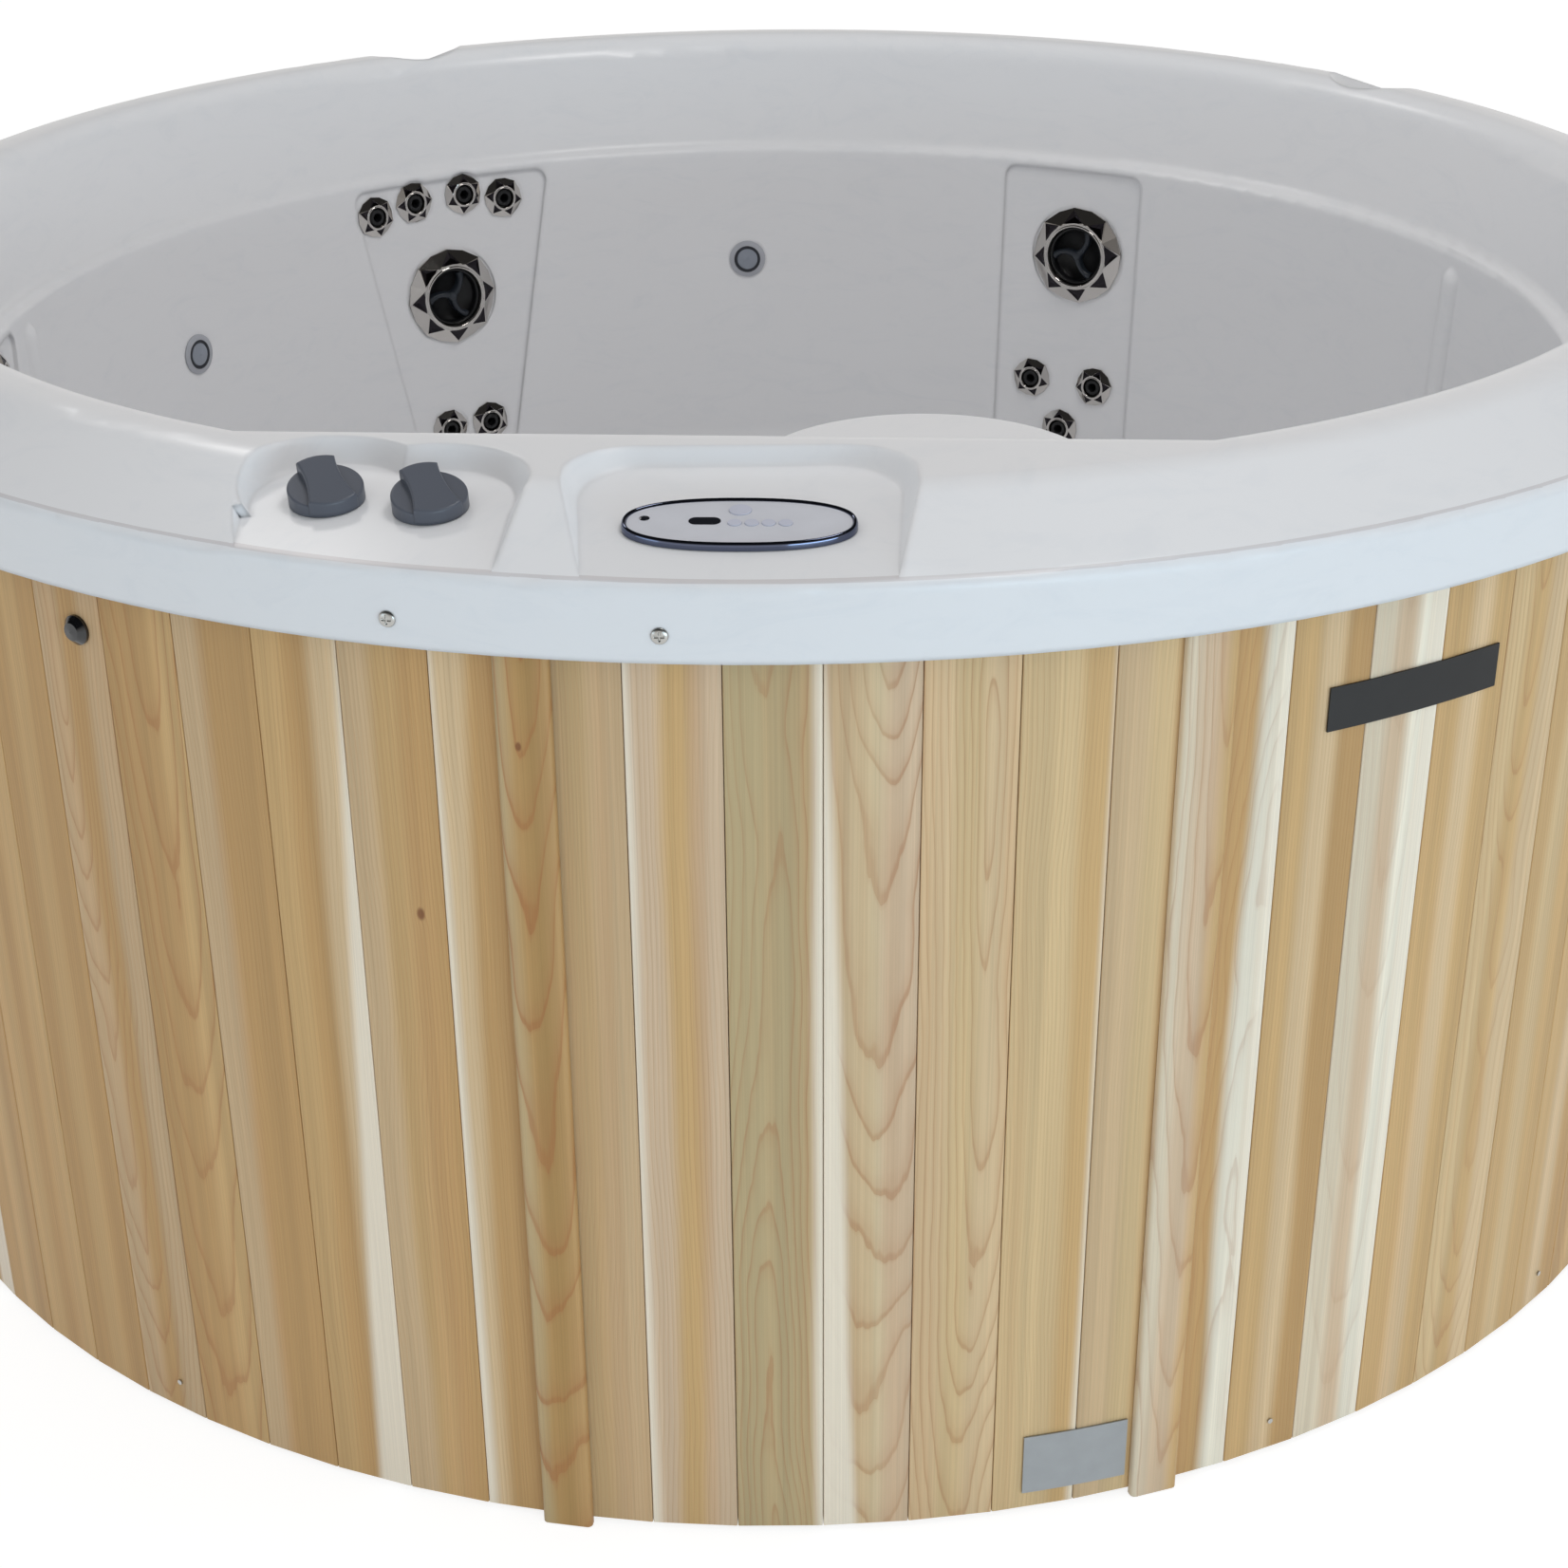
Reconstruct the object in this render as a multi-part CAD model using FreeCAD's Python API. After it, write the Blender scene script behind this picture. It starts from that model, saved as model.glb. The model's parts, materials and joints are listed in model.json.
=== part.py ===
import FreeCAD
import Part
import math
import os

from FreeCAD import Placement, Rotation, Vector

# A round cedar-clad hot tub. Millimetres and degrees. The floor is z = 0, the controls face -Y, and an
# azimuth is counted from -Y towards +X.

# Driving sizes
overall_diameter = 2134.0
overall_height = 970.0
lip_overhang = 25.0
stave_count = 84
stave_thickness = 19.0
shell_thickness = 8.0
seat_height = 395.0
footwell_floor_height = 92.0
footwell_radius = 470.0

# Clearances and small common sizes
fit_gap = 0.3
fine_gap = 0.15
running_gap = 0.06
touch = 0.01
overrun = 60.0

# Rim and lip of the shell
lip_radius = overall_diameter / 2
cabinet_face_radius = lip_radius - lip_overhang
lip_foot_height = 867.0
skirt_height = 63.0
skirt_top_round = 8.0
rim_slope_run = 111.3
crest_outer_round = 70.0
crest_width = 50.7
crest_inner_round = 42.0
inner_slope_run = 37.0
ledge_width = 15.0
ledge_drop = 138.0
ledge_fall = 3.0
ledge_outer_round = 10.0
ledge_inner_round = 7.0
wall_run = 19.0
wall_foot_round = 45.0
seat_fall = 7.0
seat_edge_round = 40.0
footwell_foot_inset = 38.0
footwell_foot_round = 60.0
floor_fall = 6.0
mould_bottom_height = 30.0

skirt_top_height = lip_foot_height + skirt_height
ledge_outer_height = overall_height - ledge_drop
ledge_inner_height = ledge_outer_height - ledge_fall
crest_outer_radius = lip_radius - rim_slope_run
crest_inner_radius = crest_outer_radius - crest_width
ledge_outer_radius = crest_inner_radius - inner_slope_run
ledge_inner_radius = ledge_outer_radius - ledge_width
wall_foot_radius = ledge_inner_radius - wall_run
seat_edge_height = seat_height - seat_fall
wall_height = ledge_inner_height - seat_height
wall_draft = math.degrees(math.atan2(ledge_inner_radius - wall_foot_radius, wall_height))

# The control side of the rim is widened inwards to a straight chord
chord_azimuth = -3.2
chord_inset = 98.0

# Filter housing moulded on the front wall
filter_azimuth = 11.6
filter_axis_radius = 686.0
filter_mound_setback = 24.0
filter_top_height = 880.0
filter_outer_radius = 166.0
filter_foot_flare = 8.0
filter_top_round = 18.0
filter_well_radius = 82.0
filter_well_floor = 425.0
filter_rebate_radius = 95.0
filter_rebate_depth = 8.0
skimmer_width = 110.0
skimmer_height = 60.0
skimmer_drop = 80.0

# Seats: shallow dishes pressed into the bench
seat_azimuths = (-149.0, 151.5, -82.0, 77.0)
seat_dish_radius = 150.0
seat_dish_depth = 16.0
seat_dish_centre_radius = 640.0

# Jet panels: recessed flats with the jets on them; heights are shares of the wall
panel_recess = 4.0
panel_foot_share = 0.115
panel_head_share = 0.975
tapered_panel_head_half = 144.0
tapered_panel_foot_half = 72.0
straight_panel_half = 99.0
panel_round = 16.0
tapered_panels = {"left": -82.0, "rear_left": -149.0}
straight_panels = {"rear_right": 151.5}
top_arc = ((7.5, 0.894), (3.5, 0.917), (-1.4, 0.922), (-5.3, 0.896))
low_pair = ((1.8, 0.191), (-2.4, 0.194))
low_three = ((3.2, 0.306), (-3.2, 0.304), (0.1, 0.152))
tapered_big_place = (0.5, 0.613)
straight_big_place = (-0.7, 0.714)

# Large jets
big_bezel_radius = 64.5
big_bezel_height = 14.5
big_bezel_lobes = 8
big_lobe_radius = 30.0
big_lobe_bite = 2.5
big_face_radius = 44.5
big_rotor_radius = 38.4
big_spigot_radius = 40.9
big_spigot_depth = 12.0
big_flange_radius = 52.0
big_flange_height = 2.4
big_barrel_radius = 44.0
big_barrel_depth = 60.0
big_bore_depth = 50.0
big_nut_radius = 57.0
big_nut_height = 14.0
rotor_front = 8.0
rotor_back = 10.0
rotor_plate = 4.0
rotor_rim = 5.0
rotor_hub_radius = 8.0
rotor_spoke_width = 3.5
rotor_spokes = 3

# Small jets
small_bezel_radius = 27.4
small_bezel_height = 8.5
small_bezel_lobes = 6
small_lobe_radius = 12.0
small_lobe_bite = 1.2
small_face_radius = 14.6
small_nozzle_radius = 12.4
small_nozzle_front = 6.5
small_nozzle_back = 20.0
small_nozzle_hole = 4.0
small_flange_radius = 20.0
small_flange_height = 1.8
small_barrel_radius = 18.0
small_barrel_depth = 45.0
small_bore_depth = 30.0
small_nut_radius = 26.0
small_nut_height = 9.0
flat_margin = 2.0

# Soft upright ribs moulded on the wall
wall_rib_azimuths = (-95.0, 108.0)
wall_rib_radius = 24.0
wall_rib_proud = 7.0
wall_rib_head_drop = 12.0

# Wall lights
light_places = ((-119.8, 0.638), (-177.4, 0.650))
light_ring_radius = 25.0
light_ring_height = 3.5
light_lens_radius = 16.5
light_lens_height = 5.5
light_barrel_radius = 18.5
light_barrel_depth = 40.0
light_lens_depth = 12.0

# Control pockets in the rim: floors slope outwards to the top of the skirt
pocket_slope = 7.0
pocket_floor_rise = 0.4
pocket_side_draft_share = 0.55
keypad_pocket_left = -152.0
keypad_pocket_right = 94.0
keypad_pocket_back = 874.0
keypad_pocket_round = 58.0
keypad_pocket_azimuth = -1.7
knob_pocket_left = -425.0
knob_pocket_right = -213.0
knob_pocket_back = 925.0
knob_pocket_azimuth = -19.0
knob_scallop_radius = 62.0
pocket_front = 1130.0

# Scoops in the rear of the rim
scoop_azimuths = (-149.5, 127.0)
scoop_width = 115.0
scoop_centre_radius = 985.0
scoop_slope = 10.5

# Diverter knobs and the valves that they turn
knob_places = ((-358.0, -903.0), (-273.0, -925.0))
knob_names = ("left", "right")
knob_base_radius = 30.5
knob_base_front_height = 8.5
knob_base_back_height = 19.0
knob_base_round = 1.6
knob_grip_radius = 31.5
knob_grip_front_height = 12.5
knob_grip_back_height = 27.0
knob_grip_round = 2.2
knob_grip_foot = 2.6
knob_grip_back_half = 16.5
knob_grip_waist_half = 14.5
knob_grip_front_half = 22.0
knob_grip_waist_y = 9.0
knob_pointer_angle = 21.0
knob_lift = 0.6
knob_stem_radius = 5.0
knob_stem_depth = 30.0
valve_body_radius = 26.0
valve_body_depth = 75.0
valve_neck_radius = 11.7
valve_port_radius = 13.0
valve_port_reach = 30.0

# Keypad
keypad_x = -29.0
keypad_y = -972.0
keypad_half_length = 92.0
keypad_half_width = 40.0
keypad_bezel_width = 4.5
keypad_bezel_height = 7.0
overlay_height = 5.0
keypad_housing_half_length = 70.0
keypad_housing_half_width = 24.0
keypad_housing_depth = 35.0
display_length = 25.0
display_width = 12.0
display_x = -27.0
display_y = 1.6
display_rise = 0.3
button_travel = 0.8
button_rise = 0.9
button_height = 4.2
top_button_radius = 9.0
top_button_y = 20.0
row_button_radius = 5.6
row_button_start = -3.7
row_button_pitch = 13.2
row_button_y = -1.6
row_button_count = 4

# Cabinet
stave_foot_height = 6.0
stave_top_height = 905.0
stave_joint_azimuth = 1.9
stave_joint_gap = 0.4
stave_edge_chamfer = 1.0
tongue_length = 6.0
tongue_width = 6.0
groove_slack = 0.4
door_first_joint = -3
door_stave_count = 7
door_edge_gap = 0.8
door_top_height = 863.0
batten_width = 46.0
batten_thickness = 9.0
batten_round = 5.0
batten_foot_height = 1.0
rail_width = 32.0
rail_height = 38.0
rail_heights = (62.0, 440.0, 780.0)
rail_inset_angle = 1.3
ring_width = 18.7
bottom_ring_height = 40.0
middle_ring_foot = 420.0
middle_ring_height = 36.0
top_ring_foot = 888.0
top_ring_height = 39.5
post_width = 38.0
post_count = 9
post_offset_angle = 2.35
pan_floor = 8.0
pan_rim = 4.0
pan_rim_height = 50.0
nail_height = 38.0
nail_first_azimuth = 26.0
nail_stave_step = 5
nail_count = 15
nail_head_radius = 2.6
nail_head_height = 1.2
nail_shank_radius = 1.4
nail_length = 34.0

# Trim on the cabinet and lip
lip_screw_places = (-16.3, -4.8)
lip_screw_height = 890.0
screw_head_radius = 7.0
screw_head_height = 3.0
screw_shank_radius = 2.4
screw_shank_length = 15.0
vent_cap_azimuth = -33.9
vent_cap_height = 819.0
vent_cap_radius = 13.0
vent_cap_rise = 9.0
vent_stem_radius = 6.5
plate_lift = 1.1
plate_thickness = 1.4
nameplate_azimuth = 30.45
nameplate_length = 184.0
nameplate_foot = 751.0
nameplate_width = 39.0
data_plate_azimuth = 14.75
data_plate_length = 100.0
data_plate_foot = 24.0
data_plate_width = 64.0

# Service fittings at the rear
gland_azimuth = 166.9
drain_azimuth = -167.385
service_height = 130.0
gland_bore_radius = 8.0
gland_barrel_radius = 12.5
gland_head_radius = 18.0
gland_head_height = 12.0
drain_thread_radius = 13.3
drain_thread_length = 17.0
drain_flange_radius = 22.0
drain_flange_height = 2.5
service_depth = 42.0

# Suction covers and drain grille in the footwell
suction_azimuths = (38.0, -38.0)
suction_height = 205.0
suction_radius = 62.0
suction_rise = 16.0
suction_neck_radius = 30.0
suction_neck_depth = 50.0
suction_slots = 8
suction_slot_width = 5.0
suction_slot_inner = 18.0
suction_slot_outer = 50.0
suction_slot_depth = 8.0
floor_grille_radius = 40.0
floor_grille_rise = 5.0
floor_neck_radius = 20.0
floor_neck_depth = 40.0

# Filter
lid_radius = 93.5
lid_height = 9.0
lid_knob_radius = 22.0
lid_knob_height = 10.0
lid_slots = 12
lid_slot_width = 6.0
lid_slot_inner = 48.0
lid_slot_outer = 76.0
cartridge_radius = 68.0
cartridge_core_radius = 26.0
cartridge_cap_height = 14.0
cartridge_pleats = 24
cartridge_pleat_depth = 12.0
cartridge_foot_gap = 12.0

# Pump, heater and control box behind the access door
pump_y = -800.0
pump_axis_height = 118.0
motor_left = -70.0
motor_length = 230.0
motor_radius = 72.0
motor_cowl_radius = 77.0
motor_cowl_length = 40.0
motor_foot_length = 120.0
motor_foot_width = 110.0
terminal_box_length = 90.0
terminal_box_width = 70.0
terminal_box_rise = 32.0
volute_radius = 90.0
volute_width = 62.0
pump_port_radius = 30.0
pump_port_reach = 42.0
pump_union_radius = 38.0
pump_union_width = 18.0
discharge_top_height = 240.0
heater_height = 300.0
heater_radius = 32.0
heater_left = -60.0
heater_length = 300.0
heater_collar_radius = 40.0
heater_collar_width = 16.0
box_left = -230.0
box_length = 300.0
box_foot_height = 430.0
box_height = 230.0
box_back = 775.0
box_depth = 105.0
box_lid_depth = 12.0
box_lid_margin = 6.0
box_leg_width = 18.0
box_leg_spread = 132.0

# Plumbing
main_radius = 925.0
main_height = 585.0
main_pipe_radius = 18.0
main_start_azimuth = -22.0
main_end_azimuth = -212.0
stub_pipe_radius = 7.0
feed_pipe_radius = 24.0
stub_inset = 12.0
stub_gap = 3.0

# Insulation
blanket_thickness = 8.0
blanket_top_height = 800.0
pad_radius = 380.0

origin = Vector(0, 0, 0)
up = Vector(0, 0, 1)
right = Vector(1, 0, 0)


def rounded_edges(corners, to_point):
    """Edges through closed (u, v, round) corners, with an arc at each rounded corner."""
    entries = []
    count = len(corners)
    for index, (u, v, radius) in enumerate(corners):
        here = Vector(u, v, 0)
        before = Vector(corners[index - 1][0], corners[index - 1][1], 0) - here
        after = Vector(corners[(index + 1) % count][0], corners[(index + 1) % count][1], 0) - here
        if radius <= 0:
            entries.append((here, None, here))
            continue
        half = before.getAngle(after) / 2
        reach = min(radius / math.tan(half), before.Length / 2, after.Length / 2)
        radius = reach * math.tan(half)
        before.normalize()
        after.normalize()
        middle = before + after
        middle.normalize()
        entries.append((here + before * reach,
                        here + middle * (radius / math.sin(half) - radius),
                        here + after * reach))
    edges = []
    for index, (entry, middle, leave) in enumerate(entries):
        last = entries[index - 1][2]
        if (entry - last).Length > running_gap / overrun:
            edges.append(Part.makeLine(to_point(last.x, last.y), to_point(entry.x, entry.y)))
        if middle is not None:
            ends = [to_point(point.x, point.y) for point in (entry, middle, leave)]
            edges.append(Part.Arc(*ends).toShape())
    return edges


def outline_face(corners, to_point):
    return Part.Face(Part.Wire(rounded_edges(corners, to_point)))


def revolved(corners, angle=360.0):
    """Solid turned about Z from closed (radius, height, round) corners."""
    face = outline_face(corners, lambda u, v: Vector(u, 0, v))
    return face.revolve(origin, up, angle)


def prism(corners, foot, height):
    """Vertical prism on closed (x, y, round) corners."""
    face = outline_face(corners, lambda u, v: Vector(u, v, foot))
    return face.extrude(Vector(0, 0, height))


def inset_run(run, inset):
    """Open run of (u, v, round) corners moved to its left by inset, as a skin's inner side is."""
    lines = []
    for (u1, v1, _), (u2, v2, _) in zip(run, run[1:]):
        along = Vector(u2 - u1, v2 - v1, 0)
        along.normalize()
        left = Vector(-along.y, along.x, 0)
        lines.append((Vector(u1, v1, 0) + left * inset, along))
    moved = [(lines[0][0].x, lines[0][0].y, 0.0)]
    for index in range(1, len(lines)):
        (base, along), (other, turn) = lines[index - 1], lines[index]
        cross = along.x * turn.y - along.y * turn.x
        gap = other - base
        share = (gap.x * turn.y - gap.y * turn.x) / cross
        corner = base + along * share
        radius = run[index][2]
        if radius > 0:
            radius = max(radius - inset, 0.0) if cross > 0 else radius + inset
        moved.append((corner.x, corner.y, radius))
    base, along = lines[-1]
    reach = Vector(run[-1][0] - run[-2][0], run[-1][1] - run[-2][1], 0).Length
    end = base + along * reach
    moved.append((end.x, end.y, 0.0))
    return moved


def cylinder(radius, foot, height, at=origin, axis=up):
    return Part.makeCylinder(radius, height, at + axis * foot, axis)


def tube(outer, inner, foot, height):
    return cylinder(outer, foot, height).cut(cylinder(inner, foot - overrun, height + 2 * overrun))


def turned(shape, azimuth):
    """Copy of a shape drawn at the front, carried round the tub to an azimuth."""
    copy = shape.copy()
    copy.rotate(origin, up, azimuth)
    return copy


def placed(shape, placement):
    copy = shape.copy()
    copy.Placement = placement.multiply(copy.Placement)
    return copy


def round_the_tub(azimuth):
    return Placement(origin, Rotation(up, azimuth))


def ring_sector(inner, outer, foot, height, first, last):
    """Part of a flat ring between two azimuths."""
    corners = [(inner, foot, 0), (outer, foot, 0), (outer, foot + height, 0), (inner, foot + height, 0)]
    sector = revolved(corners, last - first)
    sector.rotate(origin, up, first - 90.0)
    return sector


def wall_radius(height):
    share = (height - seat_height) / wall_height
    return wall_foot_radius + share * (ledge_inner_radius - wall_foot_radius)


def wall_place(azimuth, height, sunk):
    """Frame on the tub wall: Z points into the water, X along the wall."""
    lean = Rotation(right, wall_draft - 90.0)
    seat = Placement(Vector(0, -(wall_radius(height) + sunk), height), lean)
    return round_the_tub(azimuth).multiply(seat)


def height_on_wall(share):
    return seat_height + share * wall_height


def pocket_floor_height(x, y, azimuth, slope=pocket_slope):
    """Height of a sloping pocket floor, which meets the top of the skirt."""
    out = x * math.sin(math.radians(azimuth)) - y * math.cos(math.radians(azimuth))
    rise = (lip_radius - out) * math.tan(math.radians(slope))
    return skirt_top_height + pocket_floor_rise + rise


def pocket_place(x, y, azimuth):
    """Frame on a pocket's floor: Z square to the floor."""
    tilt = Rotation(up, azimuth).multiply(Rotation(right, pocket_slope))
    return Placement(Vector(x, y, pocket_floor_height(x, y, azimuth)), tilt)


def jets():
    """Every jet as (name, kind, azimuth, height)."""
    found = []
    for name, azimuth in tapered_panels.items():
        places = top_arc if name == "left" else top_arc + low_pair
        found.append(("big_" + name, "big", azimuth + tapered_big_place[0], tapered_big_place[1]))
        for number, (offset, share) in enumerate(places, 1):
            found.append(("small_%s_%d" % (name, number), "small", azimuth + offset, share))
    for name, azimuth in straight_panels.items():
        found.append(("big_" + name, "big", azimuth + straight_big_place[0], straight_big_place[1]))
        for number, (offset, share) in enumerate(low_three, 1):
            found.append(("small_%s_%d" % (name, number), "small", azimuth + offset, share))
    return [(name, kind, azimuth, height_on_wall(share)) for name, kind, azimuth, share in found]


# Shell: the space under the moulded surface, less the same space one wall thickness further in

def tub_run():
    return [(lip_radius, mould_bottom_height, 0),
            (lip_radius, skirt_top_height, skirt_top_round),
            (crest_outer_radius, overall_height, crest_outer_round),
            (crest_inner_radius, overall_height, crest_inner_round),
            (ledge_outer_radius, ledge_outer_height, ledge_outer_round),
            (ledge_inner_radius, ledge_inner_height, ledge_inner_round),
            (wall_foot_radius, seat_height, wall_foot_round),
            (footwell_radius, seat_edge_height, seat_edge_round),
            (footwell_radius - footwell_foot_inset, footwell_floor_height, footwell_foot_round),
            (0, footwell_floor_height - floor_fall, 0)]


def closed_on_axis(run):
    """Run that ends at the axis, closed along the axis and the mould's bottom."""
    last = run[-1]
    return run[:-1] + [(0, last[1], 0), (0, mould_bottom_height, 0)]


def dome(inset):
    run = [(lip_radius, mould_bottom_height, 0),
           (lip_radius, skirt_top_height, skirt_top_round),
           (crest_outer_radius, overall_height, crest_outer_round),
           (0, overall_height, 0)]
    return revolved(closed_on_axis(inset_run(run, inset)))


def chord_block(inset):
    """Straight widening of the rim and wall behind the controls."""
    far = lip_radius + overrun
    run = [(far, overall_height, 0),
           (crest_inner_radius - chord_inset, overall_height, crest_inner_round),
           (ledge_outer_radius - chord_inset, ledge_outer_height, ledge_outer_round),
           (ledge_inner_radius - chord_inset, ledge_inner_height, ledge_inner_round),
           (wall_foot_radius - chord_inset, seat_height, 0),
           (wall_foot_radius - chord_inset, mould_bottom_height, 0)]
    corners = inset_run(run, inset) + [(far, mould_bottom_height, 0)]
    face = outline_face(corners, lambda u, v: Vector(-lip_radius, -u, v))
    block = face.extrude(right * overall_diameter)
    return turned(block, chord_azimuth).common(dome(inset))


def filter_axis(setback=0.0):
    seat = Placement(Vector(0, setback - filter_axis_radius, 0), Rotation())
    return round_the_tub(filter_azimuth).multiply(seat)


def filter_mound(inset):
    run = [(filter_outer_radius + filter_foot_flare, mould_bottom_height, 0),
           (filter_outer_radius, filter_top_height, filter_top_round),
           (0, filter_top_height, 0)]
    return placed(revolved(closed_on_axis(inset_run(run, inset))), filter_axis(filter_mound_setback))


def filter_well(grow):
    rebate = filter_top_height - filter_rebate_depth - grow
    corners = [(0, filter_well_floor - grow, 0), (filter_well_radius + grow, filter_well_floor - grow, 0),
               (filter_well_radius + grow, rebate, 0), (filter_rebate_radius + grow, rebate, 0),
               (filter_rebate_radius + grow, filter_top_height + overrun, 0),
               (0, filter_top_height + overrun, 0)]
    well = revolved(corners)
    width = skimmer_width + 2 * grow
    height = skimmer_height + 2 * grow
    foot = filter_top_height - skimmer_drop - grow
    mouth = Part.makeBox(width, filter_outer_radius + overrun, height, Vector(-width / 2, 0, foot))
    return placed(well.fuse(mouth), filter_axis())


def seat_dishes(grow):
    sphere_radius = (seat_dish_radius ** 2 + seat_dish_depth ** 2) / (2 * seat_dish_depth)
    centre_height = seat_height - seat_dish_depth + sphere_radius
    tools = []
    for azimuth in seat_azimuths:
        centre = Vector(0, -seat_dish_centre_radius, centre_height)
        bounds = cylinder(seat_dish_radius + seat_dish_depth / 2, seat_height - overrun, 2 * overrun,
                          Vector(centre.x, centre.y, 0))
        dish = Part.makeSphere(sphere_radius + grow, centre).common(bounds)
        tools.append(turned(dish, azimuth))
    return tools


def panel_cut(azimuth, head_half, foot_half, grow):
    foot = height_on_wall(panel_foot_share) - grow
    head = height_on_wall(panel_head_share) + grow
    skin = [(wall_radius(foot) - overrun, foot, 0), (wall_radius(foot) + panel_recess + grow, foot, 0),
            (wall_radius(head) + panel_recess + grow, head, 0), (wall_radius(head) - overrun, head, 0)]
    corners = [(-foot_half - grow, foot, panel_round), (foot_half + grow, foot, panel_round),
               (head_half + grow, head, panel_round), (-head_half - grow, head, panel_round)]
    reach = wall_radius(head) + 2 * overrun
    face = outline_face(corners, lambda u, v: Vector(u, -reach, v))
    window = face.extrude(Vector(0, 4 * overrun, 0))
    return turned(revolved(skin).common(window), azimuth)


def drafted(corners, grow, azimuth, slope, sides=None):
    """Pocket tool: side walls flare upwards and the floor slopes outwards."""
    low = skirt_top_height - overrun
    high = overall_height + overrun
    wires = []
    for level in (low, high):
        flare = (level - skirt_top_height - shell_thickness) * pocket_side_draft_share + grow
        wires.append(Part.Wire(rounded_edges(corners(flare), lambda u, v, z=level: Vector(u, v, z))))
    body = Part.makeLoft(wires, True, True)
    if sides:
        for x, y, radius in sides:
            low_radius = radius + (low - skirt_top_height - shell_thickness) * pocket_side_draft_share + grow
            high_radius = radius + (high - skirt_top_height - shell_thickness) * pocket_side_draft_share + grow
            body = body.fuse(Part.makeCone(low_radius, high_radius, high - low, Vector(x, y, low), up))
    span = overall_diameter
    slab = Part.makeBox(2 * span, 2 * span, span, Vector(-span, -span, -grow / math.cos(math.radians(slope))))
    tilt = Rotation(up, azimuth).multiply(Rotation(right, slope))
    base = Vector(0, 0, pocket_floor_height(0, 0, azimuth, slope))
    return body.common(placed(slab, Placement(base, tilt)))


def keypad_pocket(grow):
    def corners(flare):
        back = -(keypad_pocket_back - flare)
        return [(keypad_pocket_left - flare, -pocket_front, 0), (keypad_pocket_right + flare, -pocket_front, 0),
                (keypad_pocket_right + flare, back, keypad_pocket_round),
                (keypad_pocket_left - flare, back, keypad_pocket_round)]
    return drafted(corners, grow, keypad_pocket_azimuth, pocket_slope)


def knob_pocket(grow):
    def corners(flare):
        return [(knob_pocket_left - flare, -pocket_front, 0), (knob_pocket_right + flare, -pocket_front, 0),
                (knob_pocket_right + flare, -knob_pocket_back, 0), (knob_pocket_left - flare, -knob_pocket_back, 0)]
    scallops = [(x, y, knob_scallop_radius) for x, y in knob_places]
    return drafted(corners, grow, knob_pocket_azimuth, pocket_slope, scallops)


def rim_scoop(azimuth, grow):
    def corners(flare):
        half = scoop_width / 2 + flare
        return [(-half, -pocket_front, 0), (half, -pocket_front, 0),
                (half, -scoop_centre_radius, 0), (-half, -scoop_centre_radius, 0)]
    round_end = [(0, -scoop_centre_radius, scoop_width / 2)]
    return turned(drafted(corners, grow, 0, scoop_slope, round_end), azimuth)


def wall_rib(azimuth, inset):
    """Round-topped rib that stands proud of the wall, parallel to it."""
    radius = wall_rib_radius - inset
    sunk = wall_rib_radius - wall_rib_proud
    head = ledge_inner_height - wall_rib_head_drop - wall_rib_radius
    length = (head - seat_height + overrun) / math.cos(math.radians(wall_draft))
    rib = cylinder(radius, -length, length).fuse(Part.makeSphere(radius))
    seat = Placement(Vector(0, -wall_radius(head) - sunk, head), Rotation(right, wall_draft))
    return placed(rib, round_the_tub(azimuth).multiply(seat))


def pressed_space(inset):
    """Everything under the moulded surface, set back by inset."""
    space = revolved(closed_on_axis(inset_run(tub_run(), inset)))
    space = space.fuse(chord_block(inset)).fuse(filter_mound(inset))
    for azimuth in wall_rib_azimuths:
        space = space.fuse(wall_rib(azimuth, inset))
    tools = seat_dishes(inset) + [filter_well(inset), keypad_pocket(inset), knob_pocket(inset)]
    tools += [rim_scoop(azimuth, inset) for azimuth in scoop_azimuths]
    for azimuth in tapered_panels.values():
        tools.append(panel_cut(azimuth, tapered_panel_head_half, tapered_panel_foot_half, inset))
    for azimuth in straight_panels.values():
        tools.append(panel_cut(azimuth, straight_panel_half, straight_panel_half, inset))
    for tool in tools:
        space = space.cut(tool)
    return space


def through(radius, place, flat=None):
    """Hole along a fitting's axis, with a flat for its face."""
    tools = [placed(cylinder(radius, -overrun, 2 * overrun), place)]
    if flat:
        tools.append(placed(cylinder(flat, 0, overrun / 2), place))
    return tools


def ellipse_prism(half_length, half_width, foot, height):
    edge = Part.Ellipse(Vector(0, 0, foot), half_length, half_width).toShape()
    return Part.Face(Part.Wire(edge)).extrude(Vector(0, 0, height))


def suction_place(azimuth):
    lean = math.degrees(math.atan2(footwell_foot_inset, seat_edge_height - footwell_floor_height))
    share = (seat_edge_height - suction_height) / (seat_edge_height - footwell_floor_height)
    seat = Placement(Vector(0, -(footwell_radius - share * footwell_foot_inset), suction_height),
                     Rotation(right, lean - 90.0))
    return round_the_tub(azimuth).multiply(seat)


def floor_place():
    return Placement(Vector(0, 0, footwell_floor_height - floor_fall), Rotation())


def keypad_place():
    return pocket_place(keypad_x, keypad_y, keypad_pocket_azimuth)


def knob_place(x, y):
    return pocket_place(x, y, knob_pocket_azimuth)


def radial_place(azimuth, radius, height):
    """Frame on the outside: Z points away from the tub."""
    seat = Placement(Vector(0, -radius, height), Rotation(right, 90.0))
    return round_the_tub(azimuth).multiply(seat)


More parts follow.
